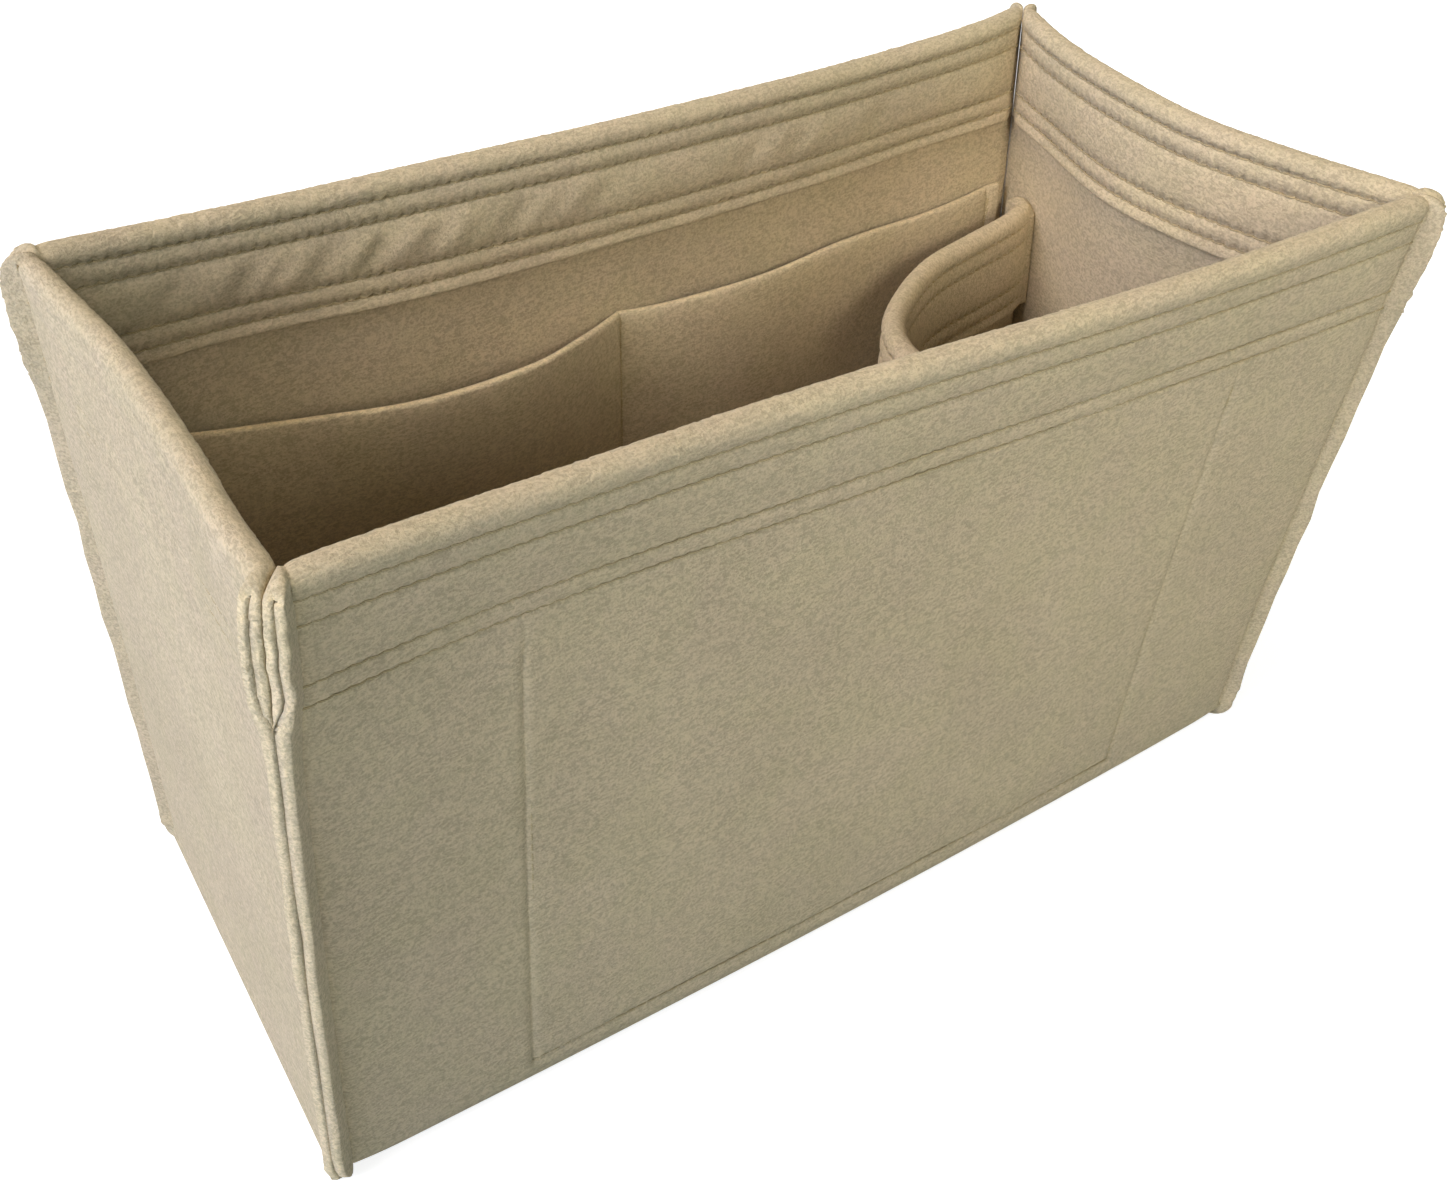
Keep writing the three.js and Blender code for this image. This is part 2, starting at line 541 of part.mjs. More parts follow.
// The holder's path at a height. The outer layer turns onto the end panel at either end as a seam
// allowance, and the hem's layer runs straight on and ends at the panel.
function holderPath(height, isHem) {
  const back = cornerLine("backRight", height).y - HOLDER_SEAM_INSET;
  const front = cornerLine("frontRight", height).y + HOLDER_SEAM_INSET;
  const middle = (back + front) / 2;
  const half = (back - front) / 2 - HOLDER_BEND;
  const [frontX, backX] = [-half, half].map((place) => rightWallAt(middle + place, height).x - HOLDER_BEND);
  const curve = new THREE.SplineCurve(holderShares.map(([reach, width]) =>
    new THREE.Vector2(mix(frontX, backX, (1 + width) / 2) - reach * HOLDER_REACH, middle + width * half)));
  const places = curve.getPoints(holderStationCount);
  const end = (sign) => {
    const seat = rightWallAt(middle + sign * (isHem ? half - OUTER_FACE : half), height).x;
    if (isHem) {
      return holderEndShares.map((share) =>
        new THREE.Vector2(seat - mix(HALF_GAP, HOLDER_BEND, share), middle + sign * half));
    }
    const allowance = [HOLDER_ALLOWANCE, 0].map((run) => {
      const y = middle + sign * (half + HOLDER_BEND + run);
      return new THREE.Vector2(rightWallAt(y, height).x, y);
    });
    const bend = [30, 60].map((degrees) => new THREE.Vector2(
      seat - HOLDER_BEND * (1 - Math.cos(degrees * DEGREE)),
      middle + sign * (half + HOLDER_BEND * (1 - Math.sin(degrees * DEGREE)))));
    return [...allowance, ...bend];
  };
  return [...end(1), ...places, ...end(-1).reverse()];
}

// The outward normals of the holder's path.
function pathNormals(path) {
  return path.map((_, k) => {
    const ahead = path[Math.min(k + 1, path.length - 1)].clone().sub(path[Math.max(k - 1, 0)]).normalize();
    return new THREE.Vector2(ahead.y, -ahead.x);
  });
}

// A point of the holder's felt at a station: a share of 1 is on the wall's path and 0 on the hem's.
function holderPoint(station, height, out, z, share) {
  const [wall, hem] = [false, true].map((isHem) => {
    const path = holderPath(height, isHem);
    return path[station].clone().addScaledVector(pathNormals(path)[station], out);
  });
  const point = hem.lerp(wall, share);
  return new Vector3(point.x, point.y, z);
}

function bottleHolder() {
  const wall = holderDropShares.map((drop) => {
    const height = mix(HOLDER_FLOOR, HOLDER_TOP - HEM_DEPTH, drop);
    return { height, faces: [HALF_GAP, OUTER_FACE], raises: [0, 0], share: 1 };
  });
  const grid = [...hemRows(HOLDER_TOP, otherRowShares), ...wall].map(({ height, faces, raises, share }) =>
    Array.from({ length: holderPlaceCount }, (_, station) =>
      faces.map((out, face) => holderPoint(station, height, out, height + raises[face], share))));
  return feltSheet("bottle_holder", grid);
}

// The two threads of a hem row: one lies on the outside of the wall and one on the hem inside.
function hemRowThreads(sideName) {
  const { rows, shares, out, run } = sides[sideName];
  const stand = OUTER_FACE - STITCH_DENT + THREAD_STAND;
  return rows.flatMap((rowShare, k) => [1, -1].map((sign) => {
    const height = HEIGHT - rowShare * HEM_DEPTH;
    const start = wallPoint(sideName, 0, height, sign * stand);
    const finish = wallPoint(sideName, 1, height, sign * stand);
    const inset = sign > 0 ? stand * Math.tan(SEAM_ANGLE / 2) : stand + FELT / 2;
    start.addScaledVector(run, inset);
    finish.addScaledVector(run, -inset);
    const middle = shares.map((share) => wallPoint(sideName, share, height, sign * stand));
    const normal = out.clone().multiplyScalar(sign);
    const path = [start, ...middle, finish].map((point) => ({ point, normal }));
    return strand(`${sideName}_hem_row_${k + 1}_${sign > 0 ? "outside" : "inside"}_thread`, path);
  }));
}

// The seam that holds an end panel: down one corner, along the base and up the other corner.
function endSeamThreads(end) {
  const heights = [HEIGHT - 3 * OUTER_FACE, RAW_EDGE, ...wallRows().map((row) => row.height)];
  const corner = (name) => [
    ...heights.map((height) => wallSeam(name, height)), ...bendTurns.map((turn) => bendSeam(name, turn))];
  const base = depthShares.toReversed().map((share) => baseSeam(end, 1 - share));
  const seams = [...corner(`front${end}`), ...base, ...corner(`back${end}`).reverse()];
  return [1, -1].map((sign) => {
    const path = seams.map(({ inner, tip, across, slack = 0 }) => {
      const normal = across.clone().multiplyScalar(sign);
      const point = inner.clone().lerp(tip, SEAM_LINE / SEAM_ALLOWANCE);
      point.addScaledVector(normal, OUTER_FACE + THREAD_STAND + slack);
      return { point: point.setZ(Math.max(point.z, THREAD_STAND)), normal };
    });
    return strand(`${end.toLowerCase()}_end_seam_${sign > 0 ? "strip" : "panel"}_side_thread`, path);
  });
}

// A pocket's stitches, as places on its wall: down one side, along the bottom and up the other side.
function pocketSeamPlaces(from, to, middle, topOf) {
  const bottom = POCKET_FLOOR + POCKET_ROW_RISE;
  const side = (share) =>
    riseShares.slice(1).map((rise) => [share, mix(bottom, topOf(share) - FELT, rise)]);
  return [...side(from).reverse(), ...[from, ...middle, to].map((share) => [share, bottom]), ...side(to)];
}

// The two threads of a seam through a pocket and its wall: outside on the wall, inside on the pocket.
function pocketThreads(name, sideName, places, slackOf, topOf) {
  const { out } = sides[sideName];
  return ["outside", "inside"].map((face) => {
    const path = places.map(([share, height]) => {
      const rise = (height - POCKET_FLOOR) / (topOf(share) - POCKET_FLOOR);
      const slack = slackOf(share) * rise ** POCKET_RISE_POWER;
      const stand = face === "outside" ? OUTER_FACE + THREAD_STAND : pocketFaces(slack)[1] - THREAD_STAND;
      const normal = out.clone().multiplyScalar(face === "outside" ? 1 : -1);
      return { point: wallPoint(sideName, share, height, stand), normal };
    });
    return strand(`${name}_${face}_thread`, path);
  });
}

function allPocketThreads() {
  const backPlaces = pocketSeamPlaces(
    backSeamShare, 1 - backSeamShare, lengthShares.slice(1, -1), backPocketTop);
  const frontPlaces = pocketSeamPlaces(
    FRONT_POCKET_LEFT_SHARE, FRONT_POCKET_RIGHT_SHARE, lengthShares.slice(3, -3), frontPocketTop);
  const dividerFoot = POCKET_FLOOR + POCKET_ROW_RISE + 4 * THREAD_RADIUS;
  const dividerTop = backPocketTop(DIVIDER_SHARE) - FELT;
  const dividerPlaces = riseShares.map((rise) => [DIVIDER_SHARE, mix(dividerFoot, dividerTop, rise)]);
  return [
    ...pocketThreads("back_pocket_seam", "back", backPlaces, backPocketSlack, backPocketTop),
    ...pocketThreads("back_pocket_divider", "back", dividerPlaces, backPocketSlack, backPocketTop),
    ...pocketThreads("front_pocket_seam", "front", frontPlaces, frontPocketSlack, frontPocketTop),
  ];
}

// The holder's threads: four rows on its hem, and a seam through each allowance and the end panel.
function holderThreads() {
  const stand = OUTER_FACE - STITCH_DENT + THREAD_STAND;
  const rows = otherRowShares.flatMap((rowShare, k) => [1, -1].map((sign) => {
    const height = HOLDER_TOP - rowShare * HEM_DEPTH;
    const path = holderPath(height, true);
    const normals = pathNormals(path);
    const places = path.map((place, station) => {
      const point = place.clone().addScaledVector(normals[station], sign * stand);
      const normal = new Vector3(normals[station].x, normals[station].y, 0).multiplyScalar(sign);
      return { point: new Vector3(point.x, point.y, height), normal };
    });
    const clear = holderEndShares.length + 1;
    const face = sign > 0 ? "outside" : "inside";
    return strand(`bottle_holder_row_${k + 1}_${face}_thread`, places.slice(clear, -clear));
  }));
  const seams = ["back", "front"].flatMap((which) => ["outside", "inside"].map((face) => {
    const sign = which === "back" ? 1 : -1;
    const path = [1, 0.6, 0.3, 0].map((rise) => {
      const height = mix(HOLDER_FLOOR + FELT, HOLDER_TOP - 2 * OUTER_FACE, rise);
      const corner = cornerLine(`${which}Right`, height).y;
      const y = corner - sign * (HOLDER_SEAM_INSET - HOLDER_ALLOWANCE / 2);
      const wall = rightWallAt(y, height);
      const wallFace = LAYER_GAP + FELT + THREAD_STAND;
      wall.x += face === "outside" ? wallFace : -(OUTER_FACE + THREAD_STAND);
      return { point: wall, normal: new Vector3(face === "outside" ? 1 : -1, 0, 0) };
    });
    return strand(`bottle_holder_${which}_seam_${face}_thread`, path);
  }));
  return [...rows, ...seams];
}

// The whole insert, centred on the middle of its footprint.
const insert = new THREE.Group();
insert.name = "purse_organizer_insert";
insert.add(strip(), endPanel("left"), endPanel("right"), backPocket(), frontPocket(), bottleHolder());
insert.add(...Object.keys(sides).flatMap(hemRowThreads));
insert.add(...["Left", "Right"].flatMap(endSeamThreads));
insert.add(...allPocketThreads(), ...holderThreads());
const middle = new THREE.Box3().setFromObject(insert).getCenter(new Vector3());
insert.position.set(-middle.x, -middle.y, 0);

export default insert;
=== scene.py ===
import bpy
import numpy as np
from mathutils import Matrix, Vector


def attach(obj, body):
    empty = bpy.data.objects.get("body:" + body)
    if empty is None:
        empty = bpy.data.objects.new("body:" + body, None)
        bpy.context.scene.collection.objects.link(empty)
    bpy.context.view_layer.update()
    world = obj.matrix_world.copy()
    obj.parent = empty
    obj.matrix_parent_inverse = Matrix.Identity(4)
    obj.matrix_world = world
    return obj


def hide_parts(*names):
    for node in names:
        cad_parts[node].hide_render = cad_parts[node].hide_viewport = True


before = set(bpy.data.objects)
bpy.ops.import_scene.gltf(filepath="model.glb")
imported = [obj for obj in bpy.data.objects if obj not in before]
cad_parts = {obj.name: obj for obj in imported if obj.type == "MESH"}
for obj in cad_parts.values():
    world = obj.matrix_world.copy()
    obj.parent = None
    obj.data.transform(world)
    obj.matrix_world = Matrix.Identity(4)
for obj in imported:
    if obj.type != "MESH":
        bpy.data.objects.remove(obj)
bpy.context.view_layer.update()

# The camera stands to the front left and above, close enough for the near corner to look large.
# Its place and turn were fitted to the insert's corners, and its axis falls left of the picture's middle.
PICTURE_WIDTH = 1453
PICTURE_HEIGHT = 1183
FOCAL_PIXELS = 1613.48
AXIS_PIXEL = (630.03, 607.66)
CAMERA_PLACE = (-0.216882, -0.284200, 0.35008)
CAMERA_RIGHT = (0.84611, -0.53283, 0.01391)
CAMERA_DOWN = (-0.32581, -0.53767, -0.77766)
CAMERA_AHEAD = (0.42184, 0.65345, -0.62853)
SENSOR = 36.0

eye = bpy.data.objects.new("photo_camera", bpy.data.cameras.new("photo_camera"))
bpy.context.scene.collection.objects.link(eye)
eye.data.sensor_width = SENSOR
eye.data.lens = FOCAL_PIXELS * SENSOR / PICTURE_WIDTH
eye.data.shift_x = (PICTURE_WIDTH / 2 - AXIS_PIXEL[0]) / PICTURE_WIDTH
eye.data.shift_y = (AXIS_PIXEL[1] - PICTURE_HEIGHT / 2) / PICTURE_WIDTH
turn = np.column_stack([CAMERA_RIGHT, -np.array(CAMERA_DOWN), -np.array(CAMERA_AHEAD)])
eye.matrix_world = Matrix.Translation(CAMERA_PLACE) @ Matrix(turn.tolist()).to_4x4()
bpy.context.scene.camera = eye

# The front, the base and the back are one strip of thick felt, cut 313 mm wide and 548 mm long.
# Both its ends are folded inwards as a hem and sewn down with four rows of stitches.
# Its long edges turn outwards as seam allowances, where the end panels are sewn in.
MM = 0.001
FELT = 3.0 * MM
HALF_GAP = 0.15 * MM
TINY = 1e-12
OUTER_FACE = HALF_GAP + FELT
HEIGHT = 182 * MM
BASE_LENGTH, BASE_DEPTH = 303 * MM, 122 * MM
MOUTH_LENGTH, MOUTH_DEPTH = 304 * MM, 138 * MM
MIDDLE_SHIFT = (0.6575 * MM, -1.3695 * MM)
HEM_DEPTH = 33.2 * MM
RAW_EDGE = HEIGHT - HEM_DEPTH
SEAM_ALLOWANCE = 5.2 * MM
BEND_RADIUS = 1.2 * MM
BEND_CONTACT = BEND_RADIUS - HALF_GAP
BEND_START = SEAM_ALLOWANCE + BEND_CONTACT
FOOT_LIFT = SEAM_ALLOWANCE - OUTER_FACE
LEAN_POWER, BOW_POWER, LIFTED_SHARE, FOOT_SHARE = 1.4, 1.6, 0.25, 0.05
CORNER_SHARES = {
    "front_left": ((-1.028, -1.06), (-1.001, -0.99)),
    "front_right": ((0.991, -0.988), (0.982, -1.072)),
    "back_right": ((1, 1.019), (1.018, 1.112)),
    "back_left": ((-0.991, 0.989), (-1.018, 0.961)),
}
CORNER_LIFTS = {"front_left": 0, "front_right": 1.2 * MM, "back_right": 2.8 * MM, "back_left": 3.3 * MM}
LONG_ROW, SHORT_ROW = 86, 38
FRONT_ROW_SHARES = (0.182, 0.357, 0.784, 0.939)
OTHER_ROW_SHARES = (0.156, 0.323, 0.739, 0.896)
SIDES = {
    "front": {"ends": ("front_left", "front_right"), "out": (0, -1, 0), "run": (1, 0, 0), "seed": 11,
              "stitches": LONG_ROW, "rows": FRONT_ROW_SHARES, "mouth": 1.7 * MM, "hem": 4.4 * MM,
              "foot": 2.5 * MM,
              "mouth_shares": [(0, 0), (0.15, 0.36), (0.4, 1), (0.7, -0.67), (1, 0)],
              "hem_shares": [(0, 0), (0.15, 1), (0.4, 0.73), (0.7, 0.36), (1, 0)]},
    "back": {"ends": ("back_left", "back_right"), "out": (0, 1, 0), "run": (1, 0, 0), "seed": 23,
             "stitches": LONG_ROW, "rows": OTHER_ROW_SHARES, "mouth": 5.5 * MM, "hem": 3.1 * MM, "foot": 0,
             "mouth_shares": [(0, 0), (0.15, -0.05), (0.3, 0.19), (0.5, 0.78), (0.7, 1), (0.8, 0.89),
                              (0.94, 0.65), (1, 0)],
             "hem_shares": [(0, 0), (0.15, -0.94), (0.3, 0.52), (0.5, 1), (0.7, 0.7), (0.85, -0.2), (1, 0)]},
    "left": {"ends": ("back_left", "front_left"), "out": (-1, 0, 0), "run": (0, -1, 0), "seed": 31,
             "stitches": SHORT_ROW, "rows": OTHER_ROW_SHARES, "mouth": 4 * MM, "hem": 1.5 * MM, "foot": 0,
             "mouth_shares": [(0, 0), (0.3, 1), (0.65, 0.63), (0.85, 0.03), (1, 0)],
             "hem_shares": [(0, 0), (0.3, 0.73), (0.65, 1), (0.85, 0.6), (1, 0)]},
    "right": {"ends": ("back_right", "front_right"), "out": (1, 0, 0), "run": (0, -1, 0), "seed": 47,
              "stitches": SHORT_ROW, "rows": OTHER_ROW_SHARES, "mouth": 13 * MM, "hem": 13.2 * MM, "foot": 0,
              "mouth_shares": [(0, 0), (0.15, 0.46), (0.4, 0.9), (0.6, 1), (0.85, 0.4), (1, 0)],
              "hem_shares": [(0, 0), (0.15, 0.25), (0.4, 1), (0.6, 0.98), (0.85, 0.42), (1, 0)]},
}


def along(rows, place):
    """A smooth curve through rows of place and value: cubic pieces whose slopes come from the neighbours."""
    x, y = np.array(rows, float).T
    last = len(x) - 1
    low, high = np.maximum(np.arange(last + 1) - 1, 0), np.minimum(np.arange(last + 1) + 1, last)
    slope = (y[high] - y[low]) / (x[high] - x[low])
    k = np.clip(np.searchsorted(x, place) - 1, 0, last - 1)
    width = x[k + 1] - x[k]
    t = (place - x[k]) / width
    ends = y[k] * (1 + 2 * t) * (1 - t) ** 2 + y[k + 1] * t**2 * (3 - 2 * t)
    return ends + width * (slope[k] * t * (1 - t) ** 2 - slope[k + 1] * t**2 * (1 - t))


def bell(distance, width):
    """A bell curve: 1 in its middle, and about a third at its width."""
    return np.exp(-((distance / width) ** 2))


def smooth(t):
    """Rises from 0 to 1 as t does, and is level at both ends."""
    t = np.clip(t, 0, 1)
    return t * t * (3 - 2 * t)


def unit(vectors):
    """The same directions with a length of one."""
    return vectors / (np.linalg.norm(vectors, axis=-1, keepdims=True) + TINY)


def outward(side, points, sign=1):
    """A wall's outward direction, once for each point, or the inward one with a sign of -1."""
    return np.tile(np.array(SIDES[side]["out"], float) * sign, (len(points), 1))


def corner_line(name, height):
    """x and y of an inner corner: its places at base and mouth, mixed by the height's share to a power."""
    lean = np.maximum(height / HEIGHT, 0) ** LEAN_POWER
    (base_x, base_y), (mouth_x, mouth_y) = CORNER_SHARES[name]
    x = base_x * BASE_LENGTH / 2 * (1 - lean) + mouth_x * MOUTH_LENGTH / 2 * lean
    y = base_y * BASE_DEPTH / 2 * (1 - lean) + mouth_y * MOUTH_DEPTH / 2 * lean
    return x + MIDDLE_SHIFT[0], y + MIDDLE_SHIFT[1]


def bow(side, share, height):
    """How far a wall bows inwards: the hem's curve up to its edge, then a straight mix into the mouth's.
    The front's foot bows outwards by a parabola that fades out up to the hem."""
    s = SIDES[side]
    hem = s["hem"] * along(s["hem_shares"], share)
    mouth = s["mouth"] * along(s["mouth_shares"], share)
    rise = np.clip(height / RAW_EDGE, 0, 1)
    below = hem * rise**BOW_POWER - s["foot"] * 4 * share * (1 - share) * (1 - rise) ** 2
    return below + np.clip((height - RAW_EDGE) / HEM_DEPTH, 0, None) * (mouth - hem)


def lift(side, share, height):
    """How far the walls rise towards the raised corners: a parabola over a quarter of each wall."""
    rise = 0
    for place, corner in zip((share, 1 - share), SIDES[side]["ends"]):
        rise = rise + CORNER_LIFTS[corner] * np.maximum(1 - place / LIFTED_SHARE, 0) ** 2
    return rise * np.maximum(height / HEIGHT, 0)


def wall_point(side, share, height, out, rise=0.0):
    """A point of a wall: between its corners by the share, moved outwards by out less the bow, then up."""
    (x0, y0), (x1, y1) = (corner_line(name, height) for name in SIDES[side]["ends"])
    away = out - bow(side, share, height)
    x = x0 + (x1 - x0) * share + SIDES[side]["out"][0] * away
    y = y0 + (y1 - y0) * share + SIDES[side]["out"][1] * away
    return np.stack(np.broadcast_arrays(x, y, height + rise + lift(side, share, height)), -1)


# At an upright corner the hem puts four layers into the seam, pressed thin, and below it there are two.
# The hem's layer thins out above its raw edge, so that the two below it meet without a gap.
BUNDLE_MIDDLE, BUNDLE_HALF, LAYER_SEAT = 1.925 * MM, 1.875 * MM, 0.05 * MM
OPEN_FLANGE = 2.75 * MM
HEM_TAPER, TOUCH = 7 * MM, 0.01 * MM
SPLAY_SHARE = 0.32
TIP_DROOP, TIP_ROUNDING, TIP_FRAY = 1.7 * MM, 1.7 * MM, 0.18 * MM
TIP_TOP_SHARE, SPLAY_POWER, WOBBLE_SPLAY = 0.4, 0.7, 0.2
WOBBLE, WOBBLE_LENGTHS = 0.22 * MM, (17 * MM, 9.3 * MM)
CREASE_RADIUS = 0.45 * MM
FLANGE_SHARES = np.array([0, 0.04, 0.13, 0.35, 0.65, 1])
CREASE_SHARES = np.array([1 / 3, 2 / 3])
STITCH_PHASES = np.array([0, 0.12, 0.5, 0.88])


def bundle(depth, theta, is_face):
    """How far a face lies from the seam's plane inside the allowance, by its depth below the mouth: the
    hem's side and the wall's side, mixed by the angle's cosine."""
    thinning = smooth((depth - HEM_DEPTH + HEM_TAPER) / HEM_TAPER)
    middle = BUNDLE_MIDDLE * (1 - thinning)
    outer = smooth((depth - HEM_DEPTH + HEM_TAPER) / (2 * HEM_TAPER))
    outer = (BUNDLE_MIDDLE + BUNDLE_HALF) * (1 - outer) + OPEN_FLANGE * outer
    seat = LAYER_SEAT * (1 - thinning) + TOUCH * thinning
    near = seat if is_face else np.maximum(middle - seat, seat + TOUCH)
    far = outer if is_face else middle + seat
    return (near + far) / 2 + (far - near) / 2 * np.cos(theta)


def crease(out, across, angle):
    """Where a wall's face meets its allowance's face: the distances along the allowance and the wall."""
    reach = (out - across * np.sin(angle)) / np.cos(angle)
    return reach, across * np.cos(angle) - reach * np.sin(angle)


def flange(corner, normal, into, out, across, angle, tip, rises=(0.0, 0.0), splay=0.0, droop=0.0):
    """The columns of an allowance from its raw edge to the wall: a straight run, then a bend as a
    quadratic curve about the crease. The allowance points away from the corner at the angle. Towards
    its raw edge the layers spread by the splay and come down by the droop."""
    sine, cosine = np.sin(angle), np.cos(angle)
    away, beside = normal * cosine - into * sine, normal * sine + into * cosine
    reach, start = crease(out, across, angle)
    rise_seam, rise_wall = rises
    lifted = np.array([0, 0, 1.0])

    def on_flange(distance, loose=0.0):
        return corner + away * distance + beside * across * (1 + splay * loose) + lifted * (
            rise_seam - droop * loose**2)

    steps = FLANGE_SHARES[:, None, None]
    run = on_flange(tip + (reach + CREASE_RADIUS - tip) * steps, 1 - steps)
    foot = corner + normal * out + into * (start + CREASE_RADIUS) + lifted * rise_wall
    bend = on_flange(reach) + lifted * (rise_wall - rise_seam) / 2
    t = CREASE_SHARES[:, None, None]
    curve = run[-1] * (1 - t) ** 2 + bend * 2 * t * (1 - t) + foot * t * t
    return np.concatenate([run, curve]).transpose(1, 0, 2)


def with_allowances(side, middle, allowance):
    """A block's middle columns with an allowance at each end, made by a function of the end's place on the
    wall, its column and its direction into the wall."""
    run = np.array(SIDES[side]["run"], float)
    first, last = allowance(0.0, [0], run), allowance(1.0, [-1], -run)
    return np.concatenate([first, middle, last[:, ::-1]], 1)


def stitch_places(count):
    """Shares of a length with so many stitches: four places to a stitch."""
    return np.append((np.arange(count)[:, None] + STITCH_PHASES).ravel(), count) / count


def wall_shares(side, height, out, across, angle=np.pi / 4):
    """The shares of a wall at its columns: four to a stitch, from crease to crease."""
    u = stitch_places(SIDES[side]["stitches"])
    (x0, y0), (x1, y1) = (corner_line(name, height) for name in SIDES[side]["ends"])
    length = np.hypot(x1 - x0, y1 - y0)
    start = (crease(out, across, angle)[1] + CREASE_RADIUS) / length
    return start + u * (1 - 2 * start), u


GROOVE_WIDTH, DIP_WIDTH, HOLE_WIDTH = 0.42 * MM, 1.3 * MM, 0.5 * MM
PUFF_PLACE, PUFF_WIDTH = 1.05 * MM, 0.65 * MM
FOLD_PUFF_SHARE = 0.3
PUFF_SLANT, PUFF_LEVEL, LOWER_PUFF_SHARE = 0.16, 0.45, 0.55
INSIDE_STITCH = np.array([0.7, 0.34, 0.85, 0.5, 0.95]) * MM
OUTSIDE_STITCH = np.array([0.66, 0.14, 0.26, 0.1, 0.1]) * MM
INSIDE_CROWNS = np.array([0.5, 0.4, 0.45, 0.3, 0.65]) * MM
OUTSIDE_CROWNS = np.array([0.45, 0.12, 0.14, 0.08, 0]) * MM
CROWN_POWER = 0.7
OUTSIDE_SHARES, OUTSIDE_SHARE = {"front": 1.0, "left": 0.2}, 0.8
LEFT_TOP_TAPER = 0.5 * MM


def stitched(distance, phase, strengths=OUTSIDE_STITCH):
    """The dent of a stitch row: a narrow and a wide bell across it, a hole where each stitch goes in,
    and felt puffed up on both sides between the holes, a little out of step. The row scallops downwards
    between the holes."""
    groove, dip, hole, puff, scallop = strengths
    distance = distance - scallop * (np.sin(np.pi * phase) ** 2 - 0.5)
    near_hole = np.cos(np.pi * phase) ** 8
    pulled = 0.6 + 0.6 * np.cos(np.pi * phase) ** 2
    dent = groove * pulled * bell(distance, GROOVE_WIDTH) + dip * bell(distance, DIP_WIDTH)
    dent = dent + hole * near_hole * bell(distance, HOLE_WIDTH)
    between = np.sin(np.pi * (phase + PUFF_SLANT * np.sign(distance))) ** 2
    return puff * (between - PUFF_LEVEL) * bell(np.abs(distance) - PUFF_PLACE, PUFF_WIDTH) - dent


def hem_relief(row_shares, depth, phase, crowns=INSIDE_CROWNS, strengths=INSIDE_STITCH):
    """The relief of a hemmed face: a crown between neighbouring rows, and each row's dent."""
    stops = np.array([0, *row_shares, 1]) * HEM_DEPTH
    relief = 0
    for k, crown in enumerate(crowns):
        t = np.clip((depth - stops[k]) / (stops[k + 1] - stops[k]), 0, 1)
        inside = (depth >= stops[k]) & (depth < stops[k + 1])
        shape = (4 * t * (1 - t)) ** CROWN_POWER
        if k == 0:
            shape = 1 - t**3
        if k == len(crowns) - 1:
            shape = np.sin(np.pi / 2 * t)
        relief = relief + crown * shape * inside
    for k, share in enumerate(row_shares):
        puffed = strengths * np.array([1, 1, 1, 1 if k < 2 else LOWER_PUFF_SHARE, 1])
        relief = relief + stitched(depth - share * HEM_DEPTH, phase, puffed)
    return relief


WAVE_LENGTHS, WAVE_HEIGHT = np.array([70, 46, 31, 20]) * MM, 0.12 * MM


def soft_waves(along_wall, down_wall, seed):
    """Slow unevenness of the felt: four sine waves of seeded directions and phases, 20 to 70 mm long."""
    random = np.random.default_rng(seed)
    waves = 0
    for length in WAVE_LENGTHS:
        angle, phase = random.uniform(0, np.pi), random.uniform(0, 2 * np.pi)
        ramp = (along_wall * np.cos(angle) + down_wall * np.sin(angle)) * 2 * np.pi / length
        waves = waves + np.sin(ramp + phase) * length / WAVE_LENGTHS[0]
    return waves * WAVE_HEIGHT


PUCKERS = {("back", True): (1.1 * MM, 46), ("right", True): (0.45 * MM, 14),
           ("front", False): (0.1 * MM, 30)}
PUCKER_SHARES = [(0, 0.5), (0.1, 0.8), (0.22, 1), (0.4, 1), (0.55, 0.6), (0.7, 0.75), (0.85, 0.4), (1, 0.2)]


def puckers(side, is_hem, share, length, depth):
    """Slanting folds on the hem's wide band: bells of seeded place, width, slant and height. Each has its
    own stretch of the band, and all fade out at the rows."""
    height, count = PUCKERS.get((side, is_hem), (0, 0))
    rows = SIDES[side]["rows"]
    band = np.clip((depth / HEM_DEPTH - rows[1]) / (rows[2] - rows[1]), 0, 1)
    random = np.random.default_rng(count)
    ripple = 0
    for k in range(count):
        place, slant = (k + random.uniform(0, 1)) / count * length, random.uniform(0.55, 1.15)
        width, middle = random.uniform(1.8, 4.2) * MM, random.uniform(0.2, 0.8)
        reach = random.uniform(0.3, 0.8)
        strength = height * random.uniform(0.4, 1) * random.choice([1, 1, -1])
        across = share * length - place + slant * (depth - HEM_DEPTH / 2)
        ripple = ripple + strength * bell(across, width) * bell(band - middle, reach)
    return ripple * np.sin(np.pi * band) ** 0.7 * along(PUCKER_SHARES, np.clip(share, 0, 1))


PINCH_LENGTH = 5 * MM
PINCH_DEPTHS, PINCH_REACHES = (0.7 * MM, 1.1 * MM), (1.9 * MM, 0.4 * MM)
FUZZ = 0.07 * MM
POCKET_FLOOR = FOOT_LIFT + FELT + BEND_RADIUS + 2 * HALF_GAP
POCKET_ROW_HEIGHT = POCKET_FLOOR + 3 * MM
QUARTER_STITCH, POCKET_ROW_FADE = 0.25, 3 * MM
POCKET_TOPS = {"front": RAW_EDGE - 2.6 * MM, "back": RAW_EDGE - 19.5 * MM}
POCKET_SEAMS = {"front": np.array([14, 71]) / LONG_ROW, "back": np.array([2, 43, 84]) / LONG_ROW}


